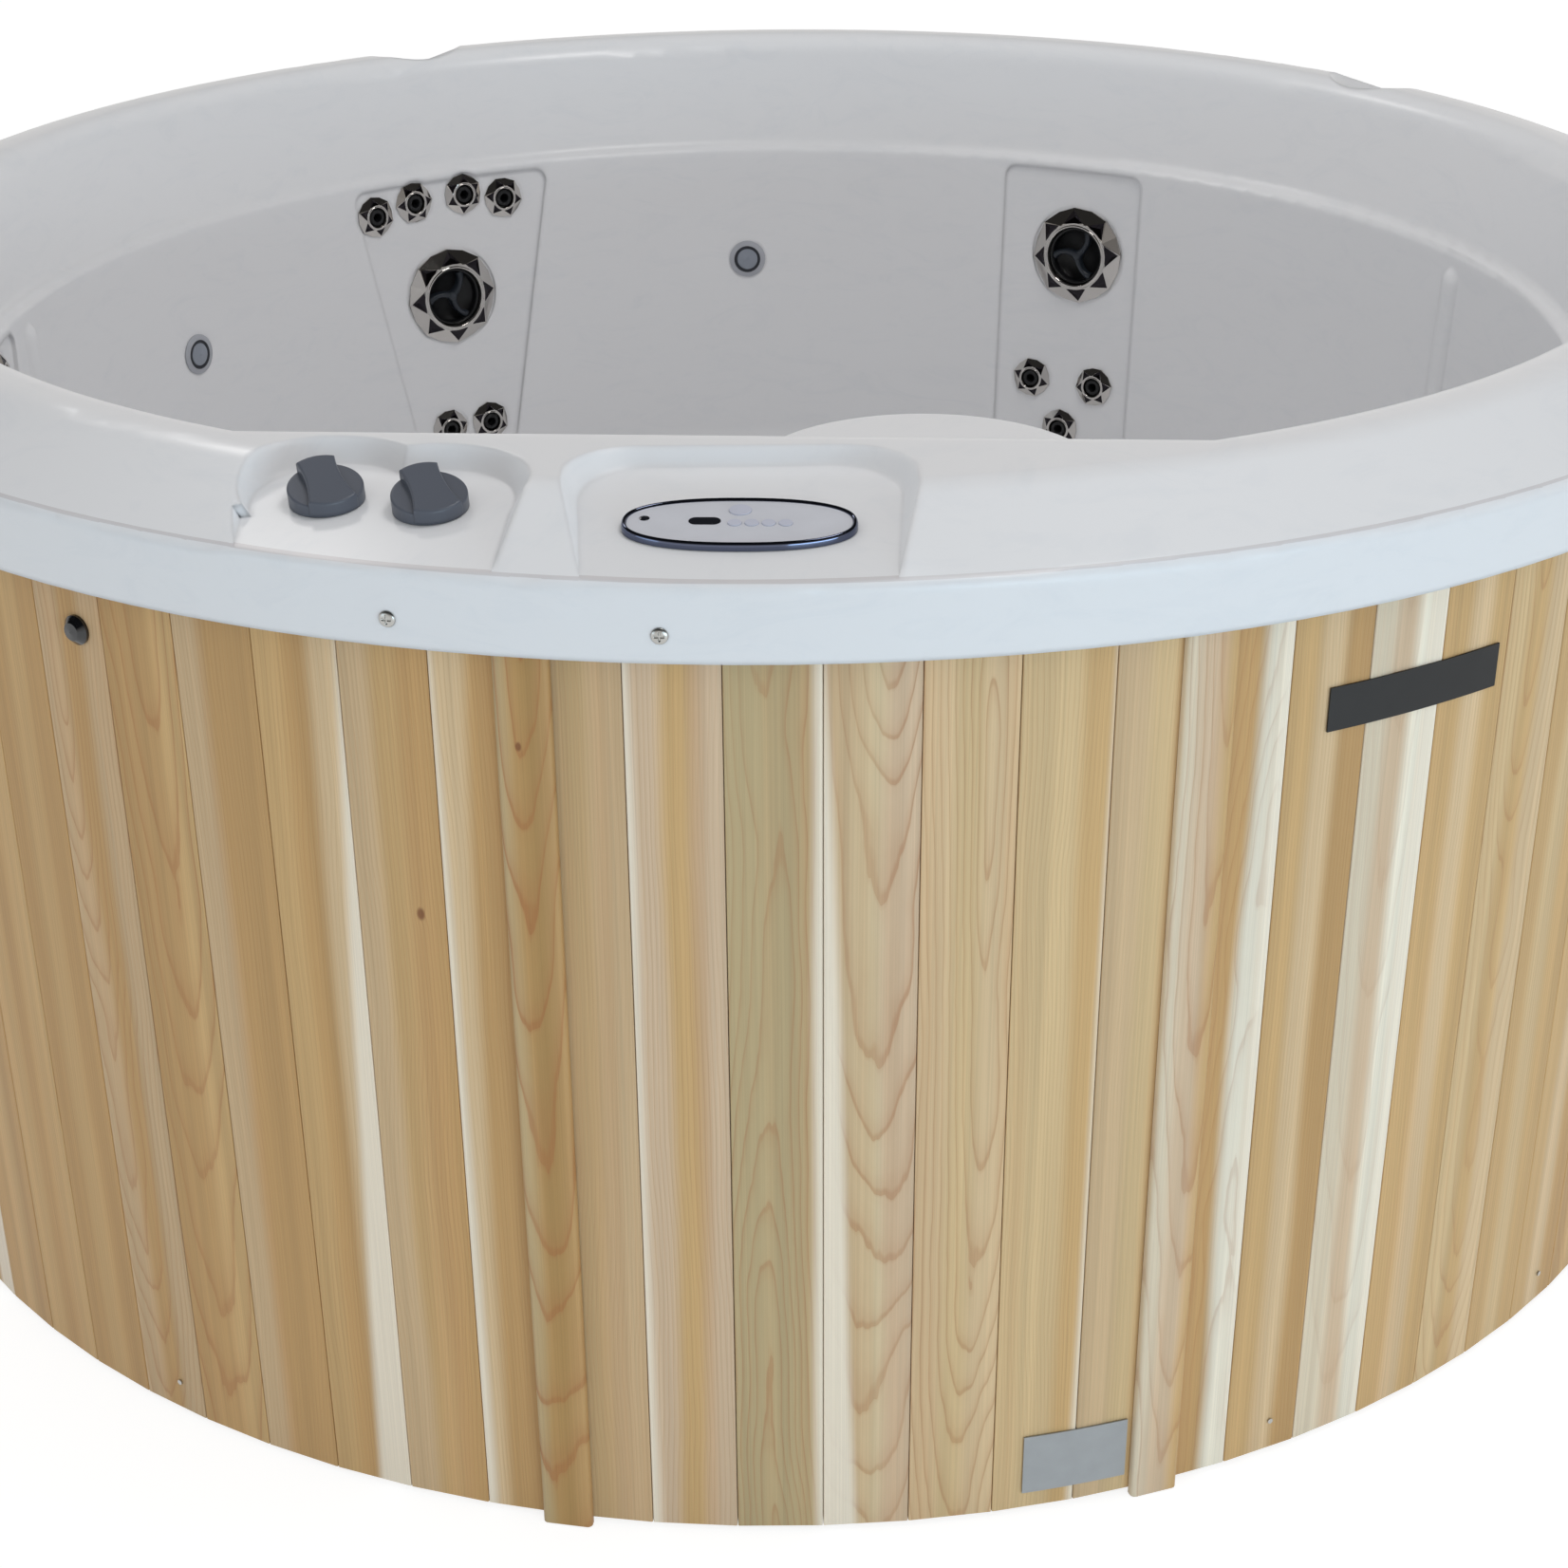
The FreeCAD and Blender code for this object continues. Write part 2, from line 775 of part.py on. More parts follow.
def acrylic_shell():
    shell = pressed_space(0).cut(pressed_space(shell_thickness))
    below = tube(lip_radius + overrun, crest_outer_radius, mould_bottom_height - overrun,
                 lip_foot_height - mould_bottom_height + overrun)
    tools = [below]
    for _, kind, azimuth, height in jets():
        place = wall_place(azimuth, height, panel_recess)
        if kind == "big":
            tools += through(big_barrel_radius + fit_gap, place, big_bezel_radius + flat_margin)
        else:
            tools += through(small_barrel_radius + fit_gap, place, small_bezel_radius + flat_margin)
    for azimuth, share in light_places:
        place = wall_place(azimuth, height_on_wall(share), 0)
        tools += through(light_barrel_radius + fit_gap, place, light_ring_radius + flat_margin)
    for azimuth in suction_azimuths:
        tools += through(suction_neck_radius + fit_gap, suction_place(azimuth), suction_radius + flat_margin)
    tools += through(floor_neck_radius + fit_gap, floor_place(), floor_grille_radius + flat_margin)
    for x, y in knob_places:
        tools += through(valve_neck_radius + fit_gap, knob_place(x, y))
    socket = ellipse_prism(keypad_housing_half_length + fit_gap, keypad_housing_half_width + fit_gap,
                           -overrun, 2 * overrun)
    tools.append(placed(socket, keypad_place()))
    for azimuth in lip_screw_places:
        place = radial_place(azimuth, lip_radius, lip_screw_height)
        tools.append(placed(cylinder(screw_shank_radius + fine_gap, -overrun / 2, overrun), place))
    for tool in tools:
        shell = shell.cut(tool)
    return shell


# Jets

def lobed(solid, radius, lobes, lobe_radius, bite):
    """Finger scallops round the edge of a bezel."""
    for number in range(lobes):
        angle = math.radians((number + 1) * 360.0 / lobes)
        distance = radius + lobe_radius - bite
        at = Vector(distance * math.cos(angle), distance * math.sin(angle), 0)
        solid = solid.cut(cylinder(lobe_radius, -overrun, 2 * overrun, at))
    return solid


def big_bezel():
    face = big_bezel_height
    under = big_flange_height + fit_gap
    bore = big_rotor_radius + fit_gap
    corners = [(bore, -big_spigot_depth, 0), (big_spigot_radius, -big_spigot_depth, 0),
               (big_spigot_radius, under, 0), (big_flange_radius + fit_gap, under, 0),
               (big_flange_radius + fit_gap, fit_gap, 0), (big_bezel_radius, fit_gap, 0),
               (big_bezel_radius, face / 3, 0), (big_flange_radius - big_flange_height, face, 0),
               (big_face_radius, face, 0), (bore, face * 0.6, 0)]
    return lobed(revolved(corners), big_bezel_radius, big_bezel_lobes, big_lobe_radius, big_lobe_bite)


def big_rotor():
    rim = tube(big_rotor_radius, big_rotor_radius - rotor_rim, -rotor_back, rotor_back + rotor_front)
    plate = cylinder(big_rotor_radius, -rotor_back, rotor_plate)
    hub = cylinder(rotor_hub_radius, -rotor_back, rotor_back + rotor_front)
    rotor = rim.fuse(plate).fuse(hub)
    bow = (big_rotor_radius - rotor_rim / 2) / 2
    half_ring = tube(bow + rotor_spoke_width / 2, bow - rotor_spoke_width / 2, -rotor_back,
                     rotor_back + rotor_front - rotor_spoke_width / 2)
    keep = Part.makeBox(4 * bow, 2 * bow, 2 * overrun, Vector(-2 * bow, 0, -overrun))
    spoke = half_ring.common(keep)
    spoke.translate(Vector(bow, 0, 0))
    for number in range(rotor_spokes):
        turn = Placement(origin, Rotation(up, number * 360.0 / rotor_spokes))
        rotor = rotor.fuse(placed(spoke, turn))
    return rotor.removeSplitter()


def big_body():
    flange = cylinder(big_flange_radius, fit_gap, big_flange_height - fit_gap)
    barrel = cylinder(big_barrel_radius, -big_barrel_depth, big_barrel_depth + big_flange_height)
    bore = cylinder(big_spigot_radius + running_gap, -big_bore_depth, big_bore_depth + overrun)
    return flange.fuse(barrel).cut(bore)


def hex_nut(radius, bore, foot, height):
    corners = []
    for number in range(6):
        angle = math.radians(number * 60.0)
        corners.append((radius * math.cos(angle), radius * math.sin(angle), 0))
    return prism(corners, foot, height).cut(cylinder(bore, foot - overrun, height + 2 * overrun))


def small_bezel():
    face = small_bezel_height
    under = small_flange_height + fit_gap
    bore = small_nozzle_radius + fit_gap
    corners = [(bore, under, 0), (small_flange_radius + fit_gap, under, 0),
               (small_flange_radius + fit_gap, fit_gap, 0), (small_bezel_radius, fit_gap, 0),
               (small_bezel_radius, face / 3, 0), (small_flange_radius - small_flange_height, face, 0),
               (small_face_radius, face, 0), (bore, face * 0.7, 0)]
    return lobed(revolved(corners), small_bezel_radius, small_bezel_lobes, small_lobe_radius, small_lobe_bite)


def small_body():
    flange = cylinder(small_flange_radius, fit_gap, small_flange_height - fit_gap)
    barrel = cylinder(small_barrel_radius, -small_barrel_depth, small_barrel_depth + small_flange_height)
    bore = cylinder(small_nozzle_radius + fit_gap, -small_bore_depth, small_bore_depth + overrun)
    return flange.fuse(barrel).cut(bore)


def small_nozzle():
    corners = [(small_nozzle_hole, -small_nozzle_back, 0), (small_nozzle_radius, -small_nozzle_back, 0),
               (small_nozzle_radius, small_nozzle_front / 2, 0), (small_nozzle_radius * 0.8, small_nozzle_front, 0),
               (small_nozzle_hole * 1.5, small_nozzle_front, 0), (small_nozzle_hole, 0, 0)]
    return revolved(corners)


def jet_nodes():
    """Bezels and rotors each in a node of their own; bodies, nuts and nozzles as groups."""
    nodes = {}
    groups = {"jet_bodies": [], "jet_nuts": [], "small_jet_nozzles": []}
    behind = shell_thickness + fit_gap
    parts = {
        "big": (big_body(), hex_nut(big_nut_radius, big_barrel_radius + fit_gap,
                                    -behind - big_nut_height, big_nut_height)),
        "small": (small_body(), hex_nut(small_nut_radius, small_barrel_radius + fit_gap,
                                        -behind - small_nut_height, small_nut_height))}
    bezels = {"big": big_bezel(), "small": small_bezel()}
    rotor = big_rotor()
    nozzle = small_nozzle()
    for name, kind, azimuth, height in jets():
        place = wall_place(azimuth, height, panel_recess)
        body, nut = parts[kind]
        groups["jet_bodies"].append(placed(body, place))
        groups["jet_nuts"].append(placed(nut, place))
        nodes["jet_bezel_" + name] = placed(bezels[kind], place)
        if kind == "big":
            nodes["jet_rotor_" + name] = placed(rotor, place)
        else:
            groups["small_jet_nozzles"].append(placed(nozzle, place))
    for name, solids in groups.items():
        nodes[name] = Part.Compound(solids)
    return nodes


def light_nodes():
    rings = []
    lenses = []
    bore = light_lens_radius + fit_gap
    shoulder = light_ring_height - light_lens_height
    ring = revolved([(bore, -light_barrel_depth, 0), (light_barrel_radius, -light_barrel_depth, 0),
                     (light_barrel_radius, fit_gap, 0), (light_ring_radius, fit_gap, 0),
                     (light_ring_radius, light_ring_height / 2, 0), (bore + light_ring_height / 2, light_ring_height, 0),
                     (bore, light_ring_height, 0)])
    lens = revolved([(0, -light_lens_depth, 0), (light_lens_radius, -light_lens_depth, 0),
                     (light_lens_radius, -shoulder / 2, 0), (light_lens_radius - light_lens_height / 2, light_ring_height, 0),
                     (0, light_lens_height, 0)])
    for azimuth, share in light_places:
        place = wall_place(azimuth, height_on_wall(share), 0)
        rings.append(placed(ring, place))
        lenses.append(placed(lens, place))
    return {"light_rings": Part.Compound(rings), "light_lenses": Part.Compound(lenses)}


# Controls on the rim

def sloped_disc(radius, foot, front_height, back_height):
    """Round block whose top falls from its back, at +Y, to its front."""
    slope = (back_height - front_height) / (2 * radius)
    middle = (back_height + front_height) / 2
    far = radius + overrun
    corners = [Vector(-far, -far, middle - far * slope), Vector(-far, far, middle + far * slope),
               Vector(-far, far, overrun), Vector(-far, -far, overrun)]
    above = Part.Face(Part.makePolygon(corners + corners[:1])).extrude(right * (2 * far))
    return cylinder(radius, foot, overrun / 2).cut(above)


def edges_above(solid, height):
    return [edge for edge in solid.Edges if edge.BoundBox.ZMin > height]


def at_radius(edge, radius):
    """Whether an edge's middle lies at a radius from the axis."""
    middle = edge.valueAt((edge.FirstParameter + edge.LastParameter) / 2)
    return abs(math.hypot(middle.x, middle.y) - radius) < touch


def valve_knob():
    base = sloped_disc(knob_base_radius, knob_lift, knob_base_front_height, knob_base_back_height)
    reach = knob_grip_radius
    front = [Vector(side * knob_grip_front_half, -reach, 0) for side in (-1, 1)]
    waist = [Vector(side * knob_grip_waist_half, knob_grip_waist_y, 0) for side in (-1, 1)]
    back = [Vector(side * knob_grip_back_half, reach, 0) for side in (-1, 1)]
    sides = [Part.Arc(front[1], waist[1], back[1]).toShape(), Part.makeLine(back[1], back[0]),
             Part.Arc(back[0], waist[0], front[0]).toShape(), Part.makeLine(front[0], front[1])]
    bar = Part.Face(Part.Wire(sides)).extrude(Vector(0, 0, overrun))
    grip = sloped_disc(reach, knob_grip_foot, knob_grip_front_height, knob_grip_back_height).common(bar)
    grip = grip.makeFillet(knob_grip_round, edges_above(grip, knob_grip_foot * 2))
    stem = cylinder(knob_stem_radius, -knob_stem_depth, knob_stem_depth + knob_base_front_height)
    knob = base.fuse(grip)
    rim = [edge for edge in edges_above(knob, knob_base_front_height / 2) if at_radius(edge, knob_base_radius)]
    knob = knob.makeFillet(knob_base_round, rim).fuse(stem).removeSplitter()
    knob.rotate(origin, up, knob_pointer_angle - knob_pocket_azimuth)
    return knob


def diverter_valve():
    behind = shell_thickness + fit_gap
    neck = cylinder(valve_neck_radius, -behind, behind - fit_gap)
    body = cylinder(valve_body_radius, -behind - valve_body_depth, valve_body_depth)
    low = cylinder(valve_port_radius, -behind - valve_body_depth - valve_port_reach, valve_port_reach)
    inward = cylinder(valve_port_radius, 0, valve_body_radius + valve_port_reach,
                      Vector(0, 0, -behind - valve_body_depth / 2), Vector(0, 1, 0))
    bore = cylinder(knob_stem_radius + running_gap, -knob_stem_depth - fit_gap, overrun * 2)
    return neck.fuse(body).fuse(low).fuse(inward).cut(bore)


def knob_nodes():
    nodes = {}
    valves = []
    for name, (x, y) in zip(knob_names, knob_places):
        nodes["valve_knob_" + name] = placed(valve_knob(), knob_place(x, y))
        valves.append(placed(diverter_valve(), knob_place(x, y)))
    nodes["diverter_valves"] = Part.Compound(valves)
    return nodes


def button_places():
    """Keypad buttons as (name, x, y, radius) on the keypad's face."""
    places = [("top", 0.0, top_button_y, top_button_radius)]
    for number in range(row_button_count):
        x = row_button_start + number * row_button_pitch
        places.append(("row_%d" % (number + 1), x, row_button_y, row_button_radius))
    return places


def slot_prism(length, width, foot, height):
    half = (length - width) / 2
    body = Part.makeBox(2 * half, width, height, Vector(-half, -width / 2, foot))
    for side in (-1, 1):
        body = body.fuse(cylinder(width / 2, foot, height, Vector(side * half, 0, 0)))
    return body.removeSplitter()


def keypad_nodes():
    place = keypad_place()
    inner_length = keypad_half_length - keypad_bezel_width
    inner_width = keypad_half_width - keypad_bezel_width
    bezel = ellipse_prism(keypad_half_length, keypad_half_width, fit_gap, keypad_bezel_height - fit_gap)
    bezel = bezel.cut(ellipse_prism(inner_length, inner_width, -overrun, 2 * overrun))
    overlay = ellipse_prism(inner_length - fit_gap, inner_width - fit_gap, fit_gap, overlay_height - fit_gap)
    window = slot_prism(display_length, display_width, overlay_height / 2, overlay_height / 2 + display_rise)
    window.translate(Vector(display_x, display_y, 0))
    pocket = slot_prism(display_length + 2 * fine_gap, display_width + 2 * fine_gap,
                        overlay_height / 2 - fine_gap, overlay_height)
    pocket.translate(Vector(display_x, display_y, 0))
    overlay = overlay.cut(pocket)
    nodes = {}
    for name, x, y, radius in button_places():
        at = Vector(x, y, 0)
        overlay = overlay.cut(cylinder(radius + fine_gap, -overrun, 2 * overrun, at))
        foot = overlay_height + button_rise - button_height
        cap = revolved([(0, foot, 0), (radius, foot, 0), (radius, foot + button_height - button_rise / 2, 0),
                        (radius - button_rise / 2, foot + button_height, 0), (0, foot + button_height, 0)])
        cap.translate(at)
        nodes["keypad_button_" + name] = placed(cap, place)
    housing = ellipse_prism(keypad_housing_half_length, keypad_housing_half_width, -keypad_housing_depth,
                            keypad_housing_depth)
    nodes["keypad_bezel"] = placed(bezel, place)
    nodes["keypad_overlay"] = placed(overlay, place)
    nodes["keypad_display"] = placed(window, place)
    nodes["keypad_housing"] = placed(housing, place)
    return nodes


# Cabinet

def joint_azimuth(index):
    return stave_joint_azimuth + index * 360.0 / stave_count


def stave(foot, top, tongue, groove, tongue_trim=0.0, groove_trim=0.0):
    """One tongued and grooved board, drawn at the front."""
    slope = math.tan(math.pi / stave_count)

    def half(depth, trim):
        return (cabinet_face_radius - depth) * slope - stave_joint_gap / 2 - trim

    def point(side, depth, trim, extra=0.0):
        return (side * (half(depth, trim) + extra), -(cabinet_face_radius - depth), 0)

    first = (stave_thickness - tongue_width) / 2
    last = first + tongue_width
    outer = [point(1, 0, tongue_trim, -stave_edge_chamfer), point(1, stave_edge_chamfer, tongue_trim)]
    if tongue:
        outer += [point(1, first, 0), point(1, first, 0, tongue_length), point(1, last, 0, tongue_length),
                  point(1, last, 0)]
    outer.append(point(1, stave_thickness, tongue_trim))
    inner = [point(-1, stave_thickness, groove_trim)]
    if groove:
        deep = -(tongue_length + 2 * groove_slack)
        inner += [point(-1, last + groove_slack, 0), point(-1, last + groove_slack, 0, deep),
                  point(-1, first - groove_slack, 0, deep), point(-1, first - groove_slack, 0)]
    inner += [point(-1, stave_edge_chamfer, groove_trim), point(-1, 0, groove_trim, -stave_edge_chamfer)]
    return prism(outer + inner, foot, top - foot)


def stave_azimuth(index):
    return (joint_azimuth(index) + joint_azimuth(index + 1)) / 2


def door_first_azimuth():
    return joint_azimuth(door_first_joint)


def door_last_azimuth():
    return joint_azimuth(door_first_joint + door_stave_count)


def door_centre_azimuth():
    return (door_first_azimuth() + door_last_azimuth()) / 2


def nail_azimuths():
    step = nail_stave_step * 360.0 / stave_count
    return [nail_first_azimuth + number * step for number in range(nail_count)]


def through_cabinet(radius, azimuth, height):
    place = radial_place(azimuth, cabinet_face_radius, height)
    return placed(cylinder(radius, -overrun, 2 * overrun), place)


def stave_nodes():
    plain = stave(stave_foot_height, stave_top_height, True, True)
    holes = {vent_cap_azimuth: through_cabinet(vent_stem_radius + fit_gap, vent_cap_azimuth, vent_cap_height),
             gland_azimuth: through_cabinet(gland_barrel_radius + fit_gap, gland_azimuth, service_height),
             drain_azimuth: through_cabinet(gland_barrel_radius + fit_gap, drain_azimuth, service_height)}
    door_end = door_first_joint + door_stave_count
    pitch = 360.0 / stave_count
    fixed = []
    for index in range(door_end, door_first_joint + stave_count):
        board = plain
        if index == door_end:
            board = stave(stave_foot_height, stave_top_height, True, False)
        elif index == door_first_joint + stave_count - 1:
            board = stave(stave_foot_height, stave_top_height, False, True)
        azimuth = stave_azimuth(index)
        board = turned(board, azimuth)
        for place, hole in holes.items():
            if abs((azimuth - place + 180.0) % 360.0 - 180.0) < pitch / 2:
                board = board.cut(hole)
        fixed.append(board)
    door = []
    for index in range(door_first_joint, door_end):
        tongue = index < door_end - 1
        groove = index > door_first_joint
        board = stave(stave_foot_height, door_top_height, tongue, groove,
                      0.0 if tongue else door_edge_gap, 0.0 if groove else door_edge_gap)
        door.append(turned(board, stave_azimuth(index)))
    return {"fixed_staves": Part.Compound(fixed), "door_staves": Part.Compound(door)}


def door_rails():
    outer = cabinet_face_radius - stave_thickness - fit_gap
    first = door_first_azimuth() + rail_inset_angle
    last = door_last_azimuth() - rail_inset_angle
    rails = [ring_sector(outer - rail_width, outer, foot, rail_height, first, last) for foot in rail_heights]
    return Part.Compound(rails)


def door_battens():
    corner_radius = cabinet_face_radius / math.cos(math.pi / stave_count)
    near = -(corner_radius + fit_gap)
    far = near - batten_thickness
    half = batten_width / 2
    corners = [(-half, near, 0), (half, near, 0), (half, far, batten_round), (-half, far, batten_round)]
    batten = prism(corners, batten_foot_height, door_top_height - batten_foot_height)
    return Part.Compound([turned(batten, azimuth) for azimuth in (door_first_azimuth(), door_last_azimuth())])


def ring_outer_radius():
    return cabinet_face_radius - stave_thickness - fit_gap


def frame_rings():
    outer = ring_outer_radius()
    inner = outer - ring_width
    bottom = ring_sector(inner, outer - pan_rim - fit_gap, pan_floor + fit_gap, bottom_ring_height, 0, 360)
    door_clear = post_offset_angle
    middle = ring_sector(inner, outer, middle_ring_foot, middle_ring_height,
                         door_last_azimuth() + door_clear / 2, door_first_azimuth() + 360 - door_clear / 2)
    top = ring_sector(inner, outer, top_ring_foot, top_ring_height, 0, 360)
    return Part.Compound([bottom, middle, top])


def frame_posts():
    near = ring_outer_radius() - ring_width - fit_gap
    first = door_last_azimuth() + post_offset_angle
    last = door_first_azimuth() + 360.0 - post_offset_angle
    posts = []
    for number in range(post_count):
        azimuth = first + number * (last - first) / (post_count - 1)
        foot = pan_floor + fit_gap
        post = Part.makeBox(post_width, post_width, top_ring_foot + top_ring_height - foot,
                            Vector(-post_width / 2, -near, foot))
        posts.append(turned(post, azimuth))
    return Part.Compound(posts)


def base_pan():
    outer = ring_outer_radius()
    corners = [(0, 0, 0), (outer, 0, 0), (outer, pan_rim_height, 0), (outer - pan_rim, pan_rim_height, 0),
               (outer - pan_rim, pan_floor, 0), (0, pan_floor, 0)]
    return revolved(corners)


def stave_nails():
    head = cylinder(nail_head_radius, 0, nail_head_height)
    shank = cylinder(nail_shank_radius, -nail_length, nail_length)
    nail = head.fuse(shank)
    corner_radius = cabinet_face_radius / math.cos(math.pi / stave_count)
    return Part.Compound([placed(nail, radial_place(azimuth, corner_radius, nail_height))
                          for azimuth in nail_azimuths()])


# Trim

def lip_screws():
    head = revolved([(0, 0, 0), (screw_head_radius, 0, 0), (screw_head_radius, screw_head_height / 2, 0),
                     (screw_head_radius / 2, screw_head_height, 0), (0, screw_head_height, 0)])
    screw = head.fuse(cylinder(screw_shank_radius, -screw_shank_length, screw_shank_length))
    return Part.Compound([placed(screw, radial_place(azimuth, lip_radius + fine_gap, lip_screw_height))
                          for azimuth in lip_screw_places])


def vent_cap():
    seat = fit_gap
    cap = revolved([(0, seat, 0), (vent_cap_radius, seat, 0), (vent_cap_radius, vent_cap_rise / 3, 0),
                    (vent_cap_radius * 0.6, vent_cap_rise * 0.9, 0), (0, vent_cap_rise, 0)])
    stem = cylinder(vent_stem_radius, -stave_thickness, stave_thickness + seat * 2)
    cap = cap.fuse(stem)
    return placed(cap, radial_place(vent_cap_azimuth, cabinet_face_radius, vent_cap_height))


def curved_plate(azimuth, length, foot, width):
    inner = cabinet_face_radius + plate_lift
    half = math.degrees(length / 2 / inner)
    return ring_sector(inner, inner + plate_thickness, foot, width, azimuth - half, azimuth + half)


def cable_gland():
    head = hex_nut(gland_head_radius, gland_bore_radius, fit_gap, gland_head_height)
    barrel = tube(gland_barrel_radius, gland_bore_radius, -service_depth, service_depth + fit_gap * 2)
    return placed(head.fuse(barrel), radial_place(gland_azimuth, cabinet_face_radius, service_height))


def drain_valve():
    flange = cylinder(drain_flange_radius, fit_gap, drain_flange_height)
    thread = cylinder(drain_thread_radius, fit_gap, drain_flange_height + drain_thread_length)
    barrel = cylinder(gland_barrel_radius, -service_depth, service_depth + fit_gap * 2)
    bore = cylinder(gland_bore_radius, -service_depth / 2, overrun * 2)
    valve = flange.fuse(thread).fuse(barrel).cut(bore)
    return placed(valve, radial_place(drain_azimuth, cabinet_face_radius, service_height))


# Footwell fittings

def slotted_cover(radius, rise, neck_radius, neck_depth, slots):
    cover = revolved([(0, fit_gap, 0), (radius, fit_gap, 0), (radius, rise / 4, 0), (radius * 0.75, rise, 0),
                      (0, rise, 0)])
    cover = cover.fuse(cylinder(neck_radius, -neck_depth, neck_depth + fit_gap * 2))
    share = radius / suction_radius
    length = (suction_slot_outer - suction_slot_inner) * share
    for number in range(slots):
        slot = slot_prism(length, suction_slot_width, rise - suction_slot_depth * share, overrun)
        slot.translate(Vector((suction_slot_inner + suction_slot_outer) / 2 * share, 0, 0))
        slot.rotate(origin, up, number * 360.0 / slots)
        cover = cover.cut(slot)
    return cover


def footwell_covers():
    cover = slotted_cover(suction_radius, suction_rise, suction_neck_radius, suction_neck_depth, suction_slots)
    solids = [placed(cover, suction_place(azimuth)) for azimuth in suction_azimuths]
    grille = revolved([(0, fit_gap, 0), (floor_grille_radius, fit_gap, 0),
                       (floor_grille_radius, floor_grille_rise / 2, 0),
                       (floor_grille_radius * 0.8, floor_grille_rise, 0), (0, floor_grille_rise, 0)])
    grille = grille.fuse(cylinder(floor_neck_radius, -floor_neck_depth, floor_neck_depth + fit_gap * 2))
    solids.append(placed(grille, floor_place()))
    return Part.Compound(solids)


# Filter

def filter_lid():
    foot = filter_top_height - filter_rebate_depth + fit_gap
    lid = revolved([(0, foot, 0), (lid_radius, foot, 0), (lid_radius, foot + lid_height / 2, 0),
                    (lid_radius - lid_height / 2, foot + lid_height, 0), (0, foot + lid_height, 0)])
    knob = revolved([(0, foot, 0), (lid_knob_radius * 0.8, foot, 0),
                     (lid_knob_radius, foot + lid_height + lid_knob_height, 0),
                     (0, foot + lid_height + lid_knob_height, 0)])
    for number in range(lid_slots):
        slot = slot_prism(lid_slot_outer - lid_slot_inner, lid_slot_width, foot - overrun, 2 * overrun)
        slot.translate(Vector((lid_slot_inner + lid_slot_outer) / 2, 0, 0))
        slot.rotate(origin, up, (number + 1) * 360.0 / lid_slots)
        lid = lid.cut(slot)
    return placed(lid.fuse(knob), filter_axis())


def filter_cartridge():
    """Pleated element between two end caps, open down the middle."""
    foot = filter_well_floor + cartridge_foot_gap
    top = filter_top_height - filter_rebate_depth
    corners = []
    for number in range(cartridge_pleats):
        for radius, turn in ((cartridge_radius - fit_gap, 0.0), (cartridge_radius - cartridge_pleat_depth, 0.5)):
            angle = math.radians((number + turn) * 360.0 / cartridge_pleats)
            corners.append((radius * math.cos(angle), radius * math.sin(angle), 0))
    element = prism(corners, foot, top - foot - cartridge_cap_height)
    for level in (foot, top - cartridge_cap_height):
        element = element.fuse(cylinder(cartridge_radius, level, cartridge_cap_height))
    core = cylinder(cartridge_core_radius, foot - overrun, top - foot - cartridge_cap_height + overrun)
    return placed(element.cut(core), filter_axis())


# Equipment behind the access door

def pump_motor():
    axis = Vector(0, pump_y, pump_axis_height)
    motor = cylinder(motor_radius, motor_left, motor_length, axis, right)
    motor = motor.fuse(cylinder(motor_cowl_radius, motor_left, motor_cowl_length, axis, right))
    foot_x = motor_left + motor_cowl_length + (motor_length - motor_cowl_length - motor_foot_length) / 2
    foot_z = pan_floor + fit_gap
    foot = Part.makeBox(motor_foot_length, motor_foot_width, pump_axis_height - foot_z - motor_radius / 2,
                        Vector(foot_x, pump_y - motor_foot_width / 2, foot_z))
    box = Part.makeBox(terminal_box_length, terminal_box_width, motor_radius + terminal_box_rise,
                       Vector(foot_x, pump_y - terminal_box_width / 2, pump_axis_height))
    return motor.fuse(foot).fuse(box)


def volute_x():
    return motor_left + motor_length + fit_gap + volute_width / 2


def pump_wet_end():
    left = motor_left + motor_length + fit_gap
    axis = Vector(0, pump_y, pump_axis_height)
    volute = cylinder(volute_radius, left, volute_width, axis, right)
    nozzle = cylinder(pump_port_radius, left, volute_width + pump_port_reach, axis, right)
    union = cylinder(pump_union_radius, left + volute_width + pump_port_reach - pump_union_width,
                     pump_union_width, axis, right)
    mid = Vector(volute_x(), pump_y, 0)
    rise = cylinder(pump_port_radius, pump_axis_height, discharge_top_height - pump_axis_height, mid)
    collar = cylinder(pump_union_radius, discharge_top_height - pump_union_width, pump_union_width, mid)
    return volute.fuse(nozzle).fuse(union).fuse(rise).fuse(collar)


def heater():
    axis = Vector(0, pump_y, heater_height)
    body = cylinder(heater_radius, heater_left, heater_length, axis, right)
    for left in (heater_left, heater_left + heater_length - heater_collar_width):
        body = body.fuse(cylinder(heater_collar_radius, left, heater_collar_width, axis, right))
    inlet = cylinder(feed_pipe_radius, heater_height - heater_collar_radius, heater_collar_radius,
                     Vector(volute_x(), pump_y, 0))
    return body.fuse(inlet)


def control_box():
    body = Part.makeBox(box_length, box_depth, box_height, Vector(box_left, -box_back - box_depth, box_foot_height))
    lid = Part.makeBox(box_length + 2 * box_lid_margin, box_lid_depth, box_height + 2 * box_lid_margin,
                       Vector(box_left - box_lid_margin, -box_back - box_depth - box_lid_depth,
                              box_foot_height - box_lid_margin))
    box = body.fuse(lid)
    foot = pan_floor + fit_gap
    for x in (box_left, box_left + box_leg_spread):
        leg = Part.makeBox(box_leg_width, box_leg_width, box_foot_height - foot + box_leg_width,
                           Vector(x, -box_back - box_depth, foot))
        box = box.fuse(leg)
    return box


